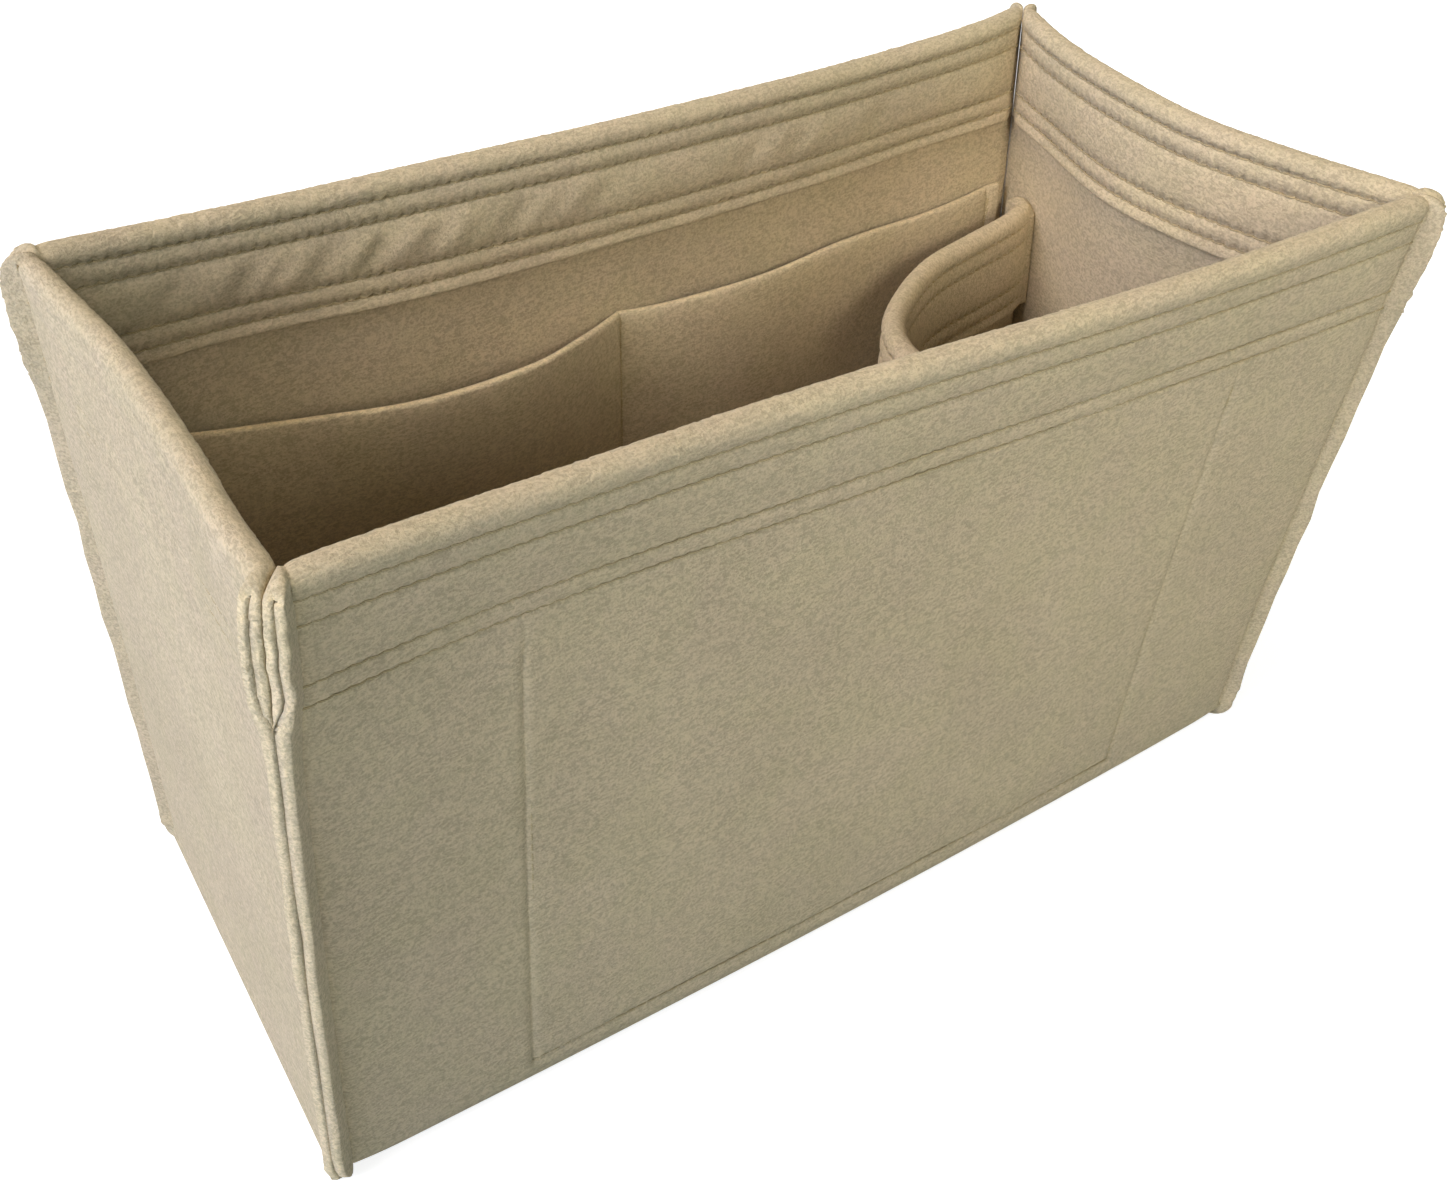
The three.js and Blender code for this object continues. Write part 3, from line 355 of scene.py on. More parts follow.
def pocket_dents(side, u, length, height, phase):
    """The dents of the pocket's stitches on the outside of its wall: upright lines and one near the base."""
    if side not in POCKET_SEAMS:
        return 0
    lines = POCKET_SEAMS[side]
    reaching = smooth((POCKET_TOPS[side] - height) / POCKET_ROW_FADE) * (height > POCKET_ROW_HEIGHT)
    dents = 0
    for line in lines:
        dents = dents + stitched((u - line) * length, QUARTER_STITCH) * reaching
    inside = (u >= lines[0]) & (u <= lines[-1])
    return dents + stitched(height - POCKET_ROW_HEIGHT, phase) * inside


BAND_COUNTS = (4, 3, 7, 3)
ROW_OFFSETS = np.array([-0.35, 0, 0.35]) * MM
ROW_CLEAR = 0.9 * MM
LIP_OFFSETS = np.array([0.7, 0.2, 0]) * MM
FOLD_ROWS = 9
WALL_HEIGHTS = 14
POCKET_ROW_OFFSETS = np.array([2.4, 0.9, 0.35, 0, -0.35, -0.9]) * MM


def hem_depths(row_shares):
    """The depths of a hem's grid rows: five close to each stitch row, more between them and at the lip."""
    rows = np.array(row_shares) * HEM_DEPTH
    starts = [OUTER_FACE, *(rows + ROW_CLEAR)]
    depths = []
    for k, count in enumerate(BAND_COUNTS):
        depths += [*np.linspace(starts[k], rows[k] - ROW_CLEAR, count), *(rows[k] + ROW_OFFSETS)]
    lip = np.linspace(starts[-1], HEM_DEPTH - LIP_OFFSETS[0], 3)[:2]
    return np.array([*depths, *lip, *(HEM_DEPTH - LIP_OFFSETS)])


def over_the_fold(hem, below):
    """The grid rows of a hemmed piece: up the hem, over the fold, and down the outside past the hem's depths.
    Each has its angle round the fold and its depth below the mouth."""
    fold = np.pi * (1 - np.arange(1, FOLD_ROWS + 1) / (FOLD_ROWS + 1))
    theta = np.concatenate([np.full(len(hem), np.pi), fold, np.zeros(len(hem) + len(below))])
    depth = np.concatenate([hem[::-1], np.full(FOLD_ROWS, OUTER_FACE), hem, below])
    return theta[:, None], depth[:, None]


def wall_rows(side):
    """A wall's grid rows, down to the bend, with some close together at the pocket's row."""
    row_depths = HEIGHT - POCKET_ROW_HEIGHT - POCKET_ROW_OFFSETS
    below = np.linspace(HEM_DEPTH, row_depths[0], WALL_HEIGHTS + 1)[1:-1]
    return over_the_fold(hem_depths(SIDES[side]["rows"]), [*below, *row_depths, HEIGHT - BEND_START])


def pinch(end):
    """How far the seam draws a wall in near its end: a wide and a narrow curve that die away."""
    return sum(deep * np.exp(-end / reach) for deep, reach in zip(PINCH_DEPTHS, PINCH_REACHES))


def relief_of(side, theta, depth, share, u):
    """All that a wall's face stands out by: hem, puckers, pocket stitches, waves, fuzz and pinched ends."""
    s = SIDES[side]
    length = MOUTH_LENGTH if side in ("front", "back") else MOUTH_DEPTH
    phase = u * s["stitches"]
    is_hem = theta == np.pi
    showing = OUTSIDE_SHARES.get(side, OUTSIDE_SHARE)
    plain = hem_relief(s["rows"], depth, phase, OUTSIDE_CROWNS * showing, OUTSIDE_STITCH * showing)
    if side == "left":
        plain = plain - LEFT_TOP_TAPER * np.clip(1 - depth / (s["rows"][0] * HEM_DEPTH), 0, 1)
    hemmed = np.where(is_hem, hem_relief(s["rows"], depth, phase), plain)
    turning = np.sin(theta / 2) ** 2
    calm = INSIDE_STITCH * np.array([1, 1, 1, FOLD_PUFF_SHARE, 0])
    over = hem_relief(s["rows"], depth, phase, strengths=calm) * turning + plain * (1 - turning)
    hemmed = np.where((theta > 0) & ~is_hem, over, hemmed)
    ripples = np.where(is_hem, puckers(side, True, share, length, depth),
                       puckers(side, False, share, length, depth))
    dents = np.where(theta == 0, pocket_dents(side, u, length, HEIGHT - depth, phase), 0)
    waves = soft_waves(share * length, depth, s["seed"]) * smooth(depth / HEM_DEPTH)
    end = np.minimum(u, 1 - u) * length
    fuzz = np.random.default_rng(s["seed"] + 1).normal(0, FUZZ, np.broadcast(depth, u).shape)
    fuzz = fuzz * (depth < s["rows"][0] * HEM_DEPTH)
    kept = 1 - np.exp(-end / PINCH_LENGTH)
    relief = (hemmed + ripples) * (depth <= HEM_DEPTH) + waves + fuzz
    return relief * kept + dents - pinch(end) * smooth(depth / (3 * OUTER_FACE))


def wall_block(side, is_face):
    """A wall's grid of points on one face, with the allowances at both ends."""
    s = SIDES[side]
    seed = s["seed"]
    theta, depth = wall_rows(side)
    height = HEIGHT - depth
    across = bundle(depth, theta, is_face)
    thickness = OUTER_FACE if is_face else HALF_GAP
    share, u = wall_shares(side, height, thickness * np.cos(theta), across)
    if is_face:
        thickness = thickness + relief_of(side, theta, depth, share, u)
    thickness = thickness * np.ones_like(share)
    out, rise = thickness * np.cos(theta), thickness * np.sin(theta)
    middle = wall_point(side, share, height, out, rise)
    first_row = s["rows"][0] * HEM_DEPTH
    topping = (OUTER_FACE - BUNDLE_HALF) * np.clip((first_row - depth) / (first_row - OUTER_FACE), 0, 1)
    seam_rise = (BUNDLE_HALF if is_face else LAYER_SEAT) * np.sin(theta) + topping
    top = bell(depth - OUTER_FACE, TIP_ROUNDING)
    tip = SEAM_ALLOWANCE - TIP_ROUNDING * top * (TIP_TOP_SHARE + (1 - TIP_TOP_SHARE) * np.sin(theta))
    wobble = sum(np.sin(2 * np.pi * depth / length + seed) for length in WOBBLE_LENGTHS)
    tip = tip + np.random.default_rng(seed + 2).normal(0, TIP_FRAY, depth.shape) - WOBBLE * (wobble + 1)
    splay = SPLAY_SHARE * np.sin(np.pi * np.clip(depth / HEM_DEPTH, 0, 1)) ** SPLAY_POWER
    splay = splay * (1 + wobble * WOBBLE_SPLAY)
    droop = TIP_DROOP * np.clip(1 - (depth - OUTER_FACE) / (2 * first_row), 0, 1)

    def allowance(place, column, into):
        corner = wall_point(side, place, height, 0.0)[:, 0]
        return flange(corner, np.array(s["out"], float), into, out[:, column], across, np.pi / 4,
                      tip, (seam_rise, rise[:, column]), splay, droop)

    return with_allowances(side, middle, allowance)


BEND_ROWS, BASE_ROWS = 7, 13


def foot_drop(share):
    """How far the base lies below its own ends, which stand on the allowances."""
    return FOOT_LIFT * (1 - np.maximum(1 - np.minimum(share, 1 - share) / FOOT_SHARE, 0) ** 2)


def bend_block(side, is_face):
    """The rows round the bend from a long wall to the base: a quarter turn about a line inside the felt,
    while the allowances at its ends turn from slanting outwards to straight down."""
    s = SIDES[side]
    theta = (np.pi / 2 * np.arange(1, BEND_ROWS + 1) / BEND_ROWS)[:, None]
    facing = np.array(s["out"], float) * np.cos(theta) - np.array([0, 0, 1.0]) * np.sin(theta)
    out = OUTER_FACE if is_face else HALF_GAP
    across = OPEN_FLANGE if is_face else TOUCH
    angle = np.pi / 4 * (1 - theta / (np.pi / 2))
    share, _ = wall_shares(side, BEND_START, out, across, angle)
    middle = wall_point(side, share, BEND_START, -BEND_CONTACT)
    middle = middle + facing[:, None, :] * (BEND_CONTACT + out)
    middle[..., 2] -= foot_drop(share) * np.sin(theta)

    def allowance(place, column, into):
        corner = wall_point(side, place, BEND_START, -BEND_CONTACT) + facing * BEND_CONTACT
        return flange(corner, facing, into, out, across, angle, SEAM_ALLOWANCE)

    return with_allowances(side, middle, allowance)


def strip_grid(is_face):
    """The whole strip: front wall, bend, base, bend and back wall, one after another."""
    front, back = wall_block("front", is_face), wall_block("back", is_face)
    front_bend, back_bend = bend_block("front", is_face), bend_block("back", is_face)
    t = (np.arange(1, BASE_ROWS + 1) / (BASE_ROWS + 1))[:, None, None]
    base = front_bend[-1] * (1 - t) + back_bend[-1] * t
    return np.concatenate([front, front_bend, base, back_bend[::-1], back[::-1]])


def new_object(name, points, faces):
    """A new object with a mesh of these points and faces."""
    mesh = bpy.data.meshes.new(name)
    mesh.from_pydata(points.tolist(), [], faces)
    piece = bpy.data.objects.new(name, mesh)
    bpy.context.scene.collection.objects.link(piece)
    return piece


EDGE_ROUNDING = 0.7 * MM
EDGE_SHARES = (1.0, 0.42, 0.06)
EDGE_THIN_SHARE = 0.3
FACE_TIP_SHARE, OTHER_TIP_SHARE = 0.35, 0.08
EDGE_BULGE, EDGE_FRAY = 0.22 * MM, 0.35


def rounded(face, other, tip_share):
    """The face with its points near the raw edges drawn towards the other face, less at the side edges."""
    weight = np.zeros(face.shape[:2])
    for k, share in enumerate(EDGE_SHARES):
        for edge, part in ((weight[k], 1), (weight[-1 - k], 1), (weight[:, k], tip_share),
                           (weight[:, -1 - k], tip_share)):
            np.maximum(edge, share * part, out=edge)
    across = other - face
    thick = np.linalg.norm(across, axis=2, keepdims=True)
    step = np.minimum(EDGE_ROUNDING, EDGE_THIN_SHARE * thick) * weight[..., None]
    return face + unit(across) * step


def felt_piece(name, face, other, row_step=1, column_step=1):
    """A closed piece of felt from two grids of points. The other face may keep only some rows and columns.
    The raw edge between them is a ring of points that bulge a little, joined to the nearest points. An
    attribute marks the points at the raw edge, where the finish paints a highlight for light catching the cut
    felt."""
    face, other = rounded(face, other, FACE_TIP_SHARE), rounded(other, face, OTHER_TIP_SHARE)
    rows, columns = face.shape[:2]
    index = np.arange(rows * columns).reshape(rows, columns)
    edge = np.concatenate([index[0], index[1:, -1], index[-1, -2::-1], index[-2:0:-1, 0]])
    r, c = np.divmod(edge, columns)
    inner_r, inner_c = np.clip(r, 1, rows - 2), np.clip(c, 1, columns - 2)
    centre = (face[r, c] + other[r, c]) / 2
    away = unit(centre - (face[inner_r, inner_c] + other[inner_r, inner_c]) / 2)
    fray = np.random.default_rng(len(name)).normal(1, EDGE_FRAY, len(r))[:, None]
    ring = centre + away * EDGE_BULGE * fray
    kept = other[::row_step, ::column_step]
    points = np.concatenate([face.reshape(-1, 3), kept.reshape(-1, 3), ring])
    first_kept, first_ring = rows * columns, len(points) - len(r)

    def quads(height, width, start):
        index = start + np.arange(height * width).reshape(height, width)
        return np.stack([index[:-1, :-1], index[:-1, 1:], index[1:, 1:], index[1:, :-1]], -1).reshape(-1, 4)

    here = first_ring + np.arange(len(r))
    after = np.roll(here, -1)
    near_r, near_c = (r + (row_step - 1) // 2) // row_step, (c + (column_step - 1) // 2) // column_step
    owner = first_kept + near_r * kept.shape[1] + near_c
    next_owner = np.roll(owner, -1)
    rim = np.stack([edge, here, after, np.roll(edge, -1)], -1)
    same = owner == next_owner
    wide = np.stack([here, owner, next_owner, after], -1)[~same]
    narrow = np.stack([here, owner, after], -1)[same]
    four = np.concatenate([quads(rows, columns, 0), quads(*kept.shape[:2], first_kept)[:, ::-1], rim, wide])
    a, b, d, e = points[four].transpose(1, 0, 2)
    volume = (a * np.cross(b, d)).sum() + (a * np.cross(d, e)).sum()
    a, b, d = points[narrow].transpose(1, 0, 2) if len(narrow) else np.zeros((3, 1, 3))
    if volume + (a * np.cross(b, d)).sum() < 0:
        four, narrow = four[:, ::-1], narrow[:, ::-1]
    piece = new_object(name, points, four.tolist() + narrow.tolist())
    piece.data.shade_smooth()
    # Weights of the painted highlight on the raw edge: 0.6 at the faces' edges, 1 on the bulging ring.
    raw = np.zeros(len(points))
    raw[edge], raw[first_ring:] = 0.6, 1
    piece.data.attributes.new("raw_edge_highlight", "FLOAT", "POINT").data.foreach_set("value", raw)
    return piece


FELT_COLOUR = np.array([0.51, 0.425, 0.287])
# The raw edges are painted paler than the felt: a painted highlight for light catching the cut edges.
RAW_EDGE_HIGHLIGHT = (1.3, 1.28, 1.22)
OLIVE, ROSY = (0.992, 1.0, 0.975), (1.008, 0.997, 1.01)
FELT_BUMP = 0.42 * MM


def fill(node, values):
    """Sets a node's inputs, or links them where the value is another node's output."""
    for key, value in values.items():
        if isinstance(value, bpy.types.NodeSocket):
            node.id_data.links.new(value, node.inputs[key])
        else:
            node.inputs[key].default_value = value


def add(tree, kind, values, output=0, **settings):
    """Adds a node with its inputs and settings, and gives back one of its outputs."""
    node = tree.nodes.new("ShaderNode" + kind)
    for name, value in settings.items():
        setattr(node, name, value)
    fill(node, values)
    return node.outputs[output]


def ramped(tree, source, low, high, dark, pale):
    """A colour that goes from dark to pale as the source goes from low to high."""
    colours = add(tree, "ValToRGB", {"Fac": source})
    ends = colours.node.color_ramp.elements
    for end, position, colour in zip(ends, (low, high), (dark, pale)):
        end.position, end.color = position, (*colour, 1)
    return colours


def new_finish(name):
    """A new material, with its node tree and its shader."""
    material = bpy.data.materials.new(name)
    material.use_nodes = True
    return material, material.node_tree, material.node_tree.nodes["Principled BSDF"]


def felt_finish(name, turn, stretch):
    """Needle-felted fibre: a fine grain, patches of short fibres that lie mostly one way, pale flecks, curls
    of nap, slow blotches of two tints, raw edges made paler as a painted highlight, and a soft sheen.
    It is noise on the object's own coordinates."""
    material, tree, shader = new_finish(name)
    place = add(tree, "TexCoord", {}, "Object")

    def noise(scale, detail, roughness, distortion, stretch=(1, 1, 1)):
        turned = add(tree, "Mapping", {"Vector": place, "Rotation": turn, "Scale": stretch},
                     vector_type="TEXTURE")
        return add(tree, "TexNoise", {"Vector": turned, "Scale": scale, "Detail": detail,
                                      "Roughness": roughness, "Distortion": distortion}, "Fac")

    def mixed(kind, first, second):
        return add(tree, "Math", {0: first, 1: second}, operation=kind)

    def times(first, second):
        return add(tree, "VectorMath", {0: first, 1: second}, operation="MULTIPLY")

    grain = mixed("SUBTRACT", noise(1700, 2, 0.6, 0.4), 0.5)
    fibres = mixed("SUBTRACT", noise(1500, 2, 0.6, 0.6, stretch), 0.5)
    patches = mixed("MULTIPLY", noise(75, 2, 0.5, 0.3), 2.6)
    flecks = mixed("MAXIMUM", mixed("SUBTRACT", noise(2200, 1, 0.5, 0.8, stretch), 0.64), 0.0)
    curls = mixed("SUBTRACT", noise(430, 2, 0.55, 1.4), 0.5)
    tone = mixed("MULTIPLY", mixed("MULTIPLY", fibres, patches), 0.62)
    tone = mixed("ADD", mixed("MULTIPLY", grain, 0.62), tone)
    tone = mixed("ADD", tone, mixed("MULTIPLY", curls, 0.5))
    tone = mixed("ADD", mixed("ADD", tone, mixed("MULTIPLY", flecks, 1.6)), 0.5)
    shade = ramped(tree, tone, 0.36, 0.64, FELT_COLOUR * 0.8, FELT_COLOUR * 1.17)
    tint = ramped(tree, noise(55, 3, 0.55, 0.4), 0.38, 0.62, OLIVE, ROSY)
    # Painted highlight: the colour is lightened at the raw edges, where light would catch the cut felt.
    cut = add(tree, "Attribute", {}, "Fac", attribute_name="raw_edge_highlight")
    edges = ramped(tree, cut, 0.1, 1, (1, 1, 1), RAW_EDGE_HIGHLIGHT)
    slow = ramped(tree, noise(24, 2, 0.5, 0.2), 0.35, 0.65, (0.96, 0.96, 0.96), (1.03, 1.03, 1.03))
    fill(shader, {"Base Color": times(times(times(shade, tint), slow), edges),
                  "Normal": add(tree, "Bump", {"Strength": 0.75, "Distance": FELT_BUMP, "Height": tone}),
                  "Roughness": 0.95, "Specular IOR Level": 0.12, "Sheen Weight": 0.2,
                  "Sheen Tint": (1, 0.85, 0.6, 1), "Sheen Roughness": 0.6})
    return material


long_felt = felt_finish("felt_grain_along_the_length", (0, -0.14, 0), (2.7, 1, 1))


def place_felt(piece, node, material):
    """Gives a felt piece its finish and its body, and hides the model's part of the node's name."""
    piece.data.materials.append(material)
    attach(piece, "root")
    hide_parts(node)


strip_face, strip_other = strip_grid(True), strip_grid(False)
KEPT_ROWS, KEPT_COLUMNS = 2, 4
strip = felt_piece("strip_front_base_back", strip_face, strip_other, KEPT_ROWS, KEPT_COLUMNS)
place_felt(strip, "front_base_back_strip", long_felt)

# Each end panel is one piece of the same felt with a hem of its own, sewn into the strip's end
# with its allowances outside. Its bottom edge stands on the ground beside the strip's.
FOOT_HEIGHTS = np.array([5.8, 4.6, 3.4, 2.4, 1.6, 1.0, 0.5, 0.2, 0]) * MM
FOOT_TURN = 0.4
FOOT_CORNER, FOOT_CORNER_SHARE = 2.4 * MM, 0.97
BOTTOM_SEAM_HEIGHT, FOOT_ROW_FADE = 4.1 * MM, 3 * MM


def foot_block(side, is_face):
    """The rows below the bend's level: the corners move inwards and turn flat, and the tips are rounded."""
    s = SIDES[side]
    height = FOOT_HEIGHTS[:, None]
    fading = smooth((BEND_START - height) / (BEND_START - FOOT_CORNER))
    inset = BEND_CONTACT * smooth((BEND_START - height) / BEND_CONTACT)
    angle = np.pi / 4 + FOOT_TURN * fading
    tip = SEAM_ALLOWANCE * np.sqrt(1 - (FOOT_CORNER_SHARE * np.clip(1 - height / FOOT_CORNER, 0, 1)) ** 2)
    out = OUTER_FACE if is_face else HALF_GAP
    across = OPEN_FLANGE if is_face else TOUCH
    share, u = wall_shares(side, height, out, across, angle)
    (x0, y0), (x1, y1) = (corner_line(name, height) for name in s["ends"])
    inset_share = inset / np.hypot(x1 - x0, y1 - y0)
    share = inset_share + share * (1 - 2 * inset_share)
    out = out * np.ones_like(share)
    if is_face:
        end = np.minimum(u, 1 - u) * MOUTH_DEPTH
        out = out + stitched(height - BOTTOM_SEAM_HEIGHT, u * s["stitches"]) * smooth(end / FOOT_ROW_FADE)
        out = out - pinch(end) * (1 - fading)
    middle = wall_point(side, share, height, out)

    def allowance(place, column, into):
        corner = wall_point(side, place, height, 0.0)[:, 0] + into * inset
        return flange(corner, np.array(s["out"], float), into, out[:, column], across, angle, tip)

    return with_allowances(side, middle, allowance)


cross_felt = felt_finish("felt_grain_across_the_ends", (0.14, 0, 0), (1, 2.7, 1))
panel_grids = {}
for side in ("left", "right"):
    faces = [np.concatenate([wall_block(side, is_face), foot_block(side, is_face)])
             for is_face in (True, False)]
    panel_grids[side] = faces[0]
    panel = felt_piece(f"{side}_end_of_felt", *faces, KEPT_ROWS, KEPT_COLUMNS)
    place_felt(panel, f"{side}_end_panel", cross_felt)

# The back pocket is one flat piece of felt, sewn to the back wall at both sides, along the bottom and
# down the middle. Its cut upper edge stands away from the wall, more in the left half than in the right.
LAYER_GAP = 2 * HALF_GAP
BACK_POCKET_TOP, BACK_POCKET_DIP = RAW_EDGE - 17.5 * MM, 4.4 * MM
TOP_DIP_SHARES = [(0, 0), (0.2, 0.05), (0.36, 0.15), (0.5, 0.9), (0.64, 0.45), (0.76, 0.25), (0.88, 0.7),
                  (1, 0.6)]
POCKET_ALLOWANCE_SHARE, BACK_SEAM_SHARE = 5 * MM / BASE_LENGTH, 10 * MM / BASE_LENGTH
BACK_LINES = (BACK_SEAM_SHARE, 0.5, 1 - BACK_SEAM_SHARE)
COLUMN_STEP = 2.6 * MM
CLOSE_GAPS = np.array([0.35, 0.9, 1.6]) * MM
RISES = np.unique([*np.linspace(0, 1, 25), 0.014, 0.02, 0.024, 0.028, 0.034, 0.994, 0.998])
LEFT_SLACK, RIGHT_SLACK = 17 * MM, 6.5 * MM
LEFT_SLACK_SHARES = [(0, 0), (0.12, 0.41), (0.31, 0.76), (0.53, 1), (0.75, 0.85), (0.89, 0.41), (1, 0)]
RIGHT_SLACK_SHARES = [(0, 0), (0.15, 0.6), (0.33, 1), (0.55, 0.7), (0.8, 0.4), (0.93, 0.2), (1, 0)]
TOP_DIP_SHARE, RISE_POWER = 0.12, 1.5
POCKET_STITCH = np.array([0.5, 0.3, 0.2, 0, 0]) * MM


def spaced(stops):
    """Shares of a wall from stop to stop, about a step apart, with more of them close to each stop."""
    places = []
    for low, high in zip(stops, stops[1:]):
        count = max(int(round((high - low) * BASE_LENGTH / COLUMN_STEP)), 1)
        close = [gap for gap in CLOSE_GAPS / BASE_LENGTH if gap < (high - low) / 2]
        places += [*np.linspace(low, high, count + 1)]
        places += [low + gap for gap in close] + [high - gap for gap in close]
    return np.unique(np.round(places, 9))


def back_slack(share):
    """How far the pocket's mouth stands off: a curve in each half, nothing at the seams."""
    left = np.clip((share - BACK_SEAM_SHARE) / (0.5 - BACK_SEAM_SHARE), 0, 1)
    right = np.clip((share - 0.5) / (0.5 - BACK_SEAM_SHARE), 0, 1)
    in_left = LEFT_SLACK * along(LEFT_SLACK_SHARES, left)
    return np.where(share < 0.5, in_left, RIGHT_SLACK * along(RIGHT_SLACK_SHARES, right))


def back_pocket_top(share):
    """The height of the pocket's cut edge, which is drawn down at the divider and the right end."""
    return BACK_POCKET_TOP - BACK_POCKET_DIP * along(TOP_DIP_SHARES, share)


def pocket_grid(side, shares, slack_of, top_of, lines, is_face, seed):
    """One face of a pocket: it leaves its wall by the slack times the rise to a power, with a dent
    along its stitches."""
    share, rise = shares[None, :], RISES[:, None]
    slack = slack_of(share) * rise**RISE_POWER
    top = top_of(share) - slack_of(share) * TOP_DIP_SHARE
    height = POCKET_FLOOR + (top - POCKET_FLOOR) * rise
    off = LAYER_GAP - HALF_GAP + slack
    if is_face:
        off = off + FELT + soft_waves(share * BASE_LENGTH, height, seed) * rise
        for line in lines:
            off = off + stitched((share - line) * BASE_LENGTH, QUARTER_STITCH, POCKET_STITCH)
        within = (share >= lines[0]) & (share <= lines[-1])
        off = off + stitched(height - POCKET_ROW_HEIGHT, QUARTER_STITCH, POCKET_STITCH) * within
    return wall_point(side, share, height, -off)


def make_pocket(side, lines, slack_of, top_of, seed):
    """A pocket of felt on the inside of a long wall, with a cut edge beyond its outer lines."""
    columns = spaced([lines[0] - POCKET_ALLOWANCE_SHARE, *lines, lines[-1] + POCKET_ALLOWANCE_SHARE])
    grids = [pocket_grid(side, columns, slack_of, top_of, lines, is_face, seed) for is_face in (True, False)]
    pocket = felt_piece(f"pocket_on_the_{side}", *grids)
    place_felt(pocket, f"{side}_pocket", long_felt)


make_pocket("back", BACK_LINES, back_slack, back_pocket_top, seed=53)

# The front pocket is a plain sheet on the inside of the front wall, sewn at its sides and bottom.
# Only its stitches show from outside.
FRONT_SLACK = 7 * MM
FRONT_LINES = (0.17, 0.82)


def front_slack(share):
    """The front pocket's mouth stands off by half a sine wave."""
    low, high = FRONT_LINES
    return FRONT_SLACK * np.sin(np.pi * np.clip((share - low) / (high - low), 0, 1))


def front_pocket_top(share):
    """The front pocket's edge is level, just below the hem."""
    return POCKET_TOPS["front"] + share * 0


make_pocket("front", FRONT_LINES, front_slack, front_pocket_top, seed=61)

# The bottle holder is a hemmed band of felt bent into a U. Its ends turn outwards and lie flat on the
# right end panel, where they are sewn on.
HOLDER_TOP = RAW_EDGE - 20.5 * MM
HOLDER_FLOOR = FOOT_LIFT + FELT + LAYER_GAP
HOLDER_REACH, HOLDER_SEAM_INSET, HOLDER_ALLOWANCE = 88 * MM, 11 * MM, 5 * MM
HOLDER_BEND = OUTER_FACE + 0.85 * MM
HOLDER_RUNS = np.array([1, 0.96, 0.86, 0.5, 0]) * HOLDER_ALLOWANCE
HOLDER_TURNS = np.radians([22.5, 45, 67.5])
HOLDER_END_COLUMNS = len(HOLDER_RUNS) + len(HOLDER_TURNS)
HOLDER_ARM_SHARES = [(0, 1), (0.1, 0.93), (0.33, 0.84), (0.56, 0.735), (0.77, 0.54), (0.935, 0.3)]
HOLDER_STITCHES = 60
HOLDER_CROWN_SHARE, HOLDER_SEED = 0.8, 71


def travelled(points):
    """The length of a line of points up to each of them."""
    return np.concatenate([[0], np.cumsum(np.linalg.norm(np.diff(points, axis=0), axis=1))])


def holder_outline(u):
    """Reach and half width of the U at shares of its length: a smooth curve through the listed points."""
    arm = np.array(HOLDER_ARM_SHARES)
    outline = np.concatenate([arm, [[1, 0]], arm[::-1] * [1, -1]])
    size = [HOLDER_REACH, MOUTH_DEPTH / 2 - HOLDER_SEAM_INSET]
    share = travelled(outline * size)
    return tuple(along(np.column_stack([share / share[-1], outline[:, k]]), u) for k in (0, 1))


def right_wall_x(y, height):
    """x of the right wall's inner face at a depth place and height."""
    back, front = corner_line("back_right", height)[1], corner_line("front_right", height)[1]
    return wall_point("right", (back - y) / (back - front), height, HALF_GAP - LAYER_GAP)[..., 0]


def holder_path(height, u, is_hem):
    """The holder's line in plan at a height: allowance, bend, U, bend and allowance. The hem's layer
    runs straight to the panel instead."""
    back = corner_line("back_right", height)[1] - HOLDER_SEAM_INSET
    front = corner_line("front_right", height)[1] + HOLDER_SEAM_INSET
    middle, half = (back + front) / 2, (back - front) / 2 - HOLDER_BEND
    front_x, back_x = (right_wall_x(middle + place, height) - HOLDER_BEND for place in (-half, half))
    reach, width = holder_outline(u)
    start = front_x + (back_x - front_x) * (1 + width) / 2
    xs, ys = [start - reach * HOLDER_REACH], [middle + width * half]
    for sign in (1, -1):
        if is_hem:
            seat = right_wall_x(middle + sign * (half - OUTER_FACE), height)
            away = np.linspace(HALF_GAP, HOLDER_BEND, HOLDER_END_COLUMNS + 1)[:-1]
            x = seat - away
            y = middle + sign * half + away * 0
        else:
            seat = right_wall_x(middle + sign * half, height)
            flat_y = middle + sign * (half + HOLDER_BEND + HOLDER_RUNS)
            bend_y = middle + sign * (half + HOLDER_BEND * (1 - np.sin(HOLDER_TURNS)))
            bend_x = seat - HOLDER_BEND * (1 - np.cos(HOLDER_TURNS))
            x = np.concatenate([right_wall_x(flat_y, height), bend_x], 1)
            y = np.concatenate([flat_y, bend_y], 1)
        xs.append(x)
        ys.append(y)
    return tuple(np.concatenate([line[1], line[0], line[2][:, ::-1]], 1) for line in (xs, ys))


def holder_point(theta, depth, u, thickness):
    """A point of the holder: on the mix of the hem's and the wall's lines, moved along the line's normal
    by the thickness times the cosine of the fold's angle, and up by its sine."""
    height = HOLDER_TOP - depth
    share = np.clip(1 - theta / np.pi, 0, 1)
    place = []
    for is_hem in (True, False):
        x, y = holder_path(height, u, is_hem)
        dx, dy = np.gradient(x, axis=1), np.gradient(y, axis=1)
        length = np.hypot(dx, dy) + 1e-12
        out = thickness * np.cos(theta)
        place.append(np.stack([x + dy / length * out, y - dx / length * out], -1))
    mixed = place[0] * (1 - share[..., None]) + place[1] * share[..., None]
    z = height + thickness * np.sin(theta)
    return np.concatenate([mixed, np.broadcast_to(z, mixed.shape[:2])[..., None]], -1)


HOLDER_LENGTH = 200 * MM
HOLDER_HEIGHTS, HOLDER_FOOT_ROW = 12, 0.7 * MM
holder_u = stitch_places(HOLDER_STITCHES)


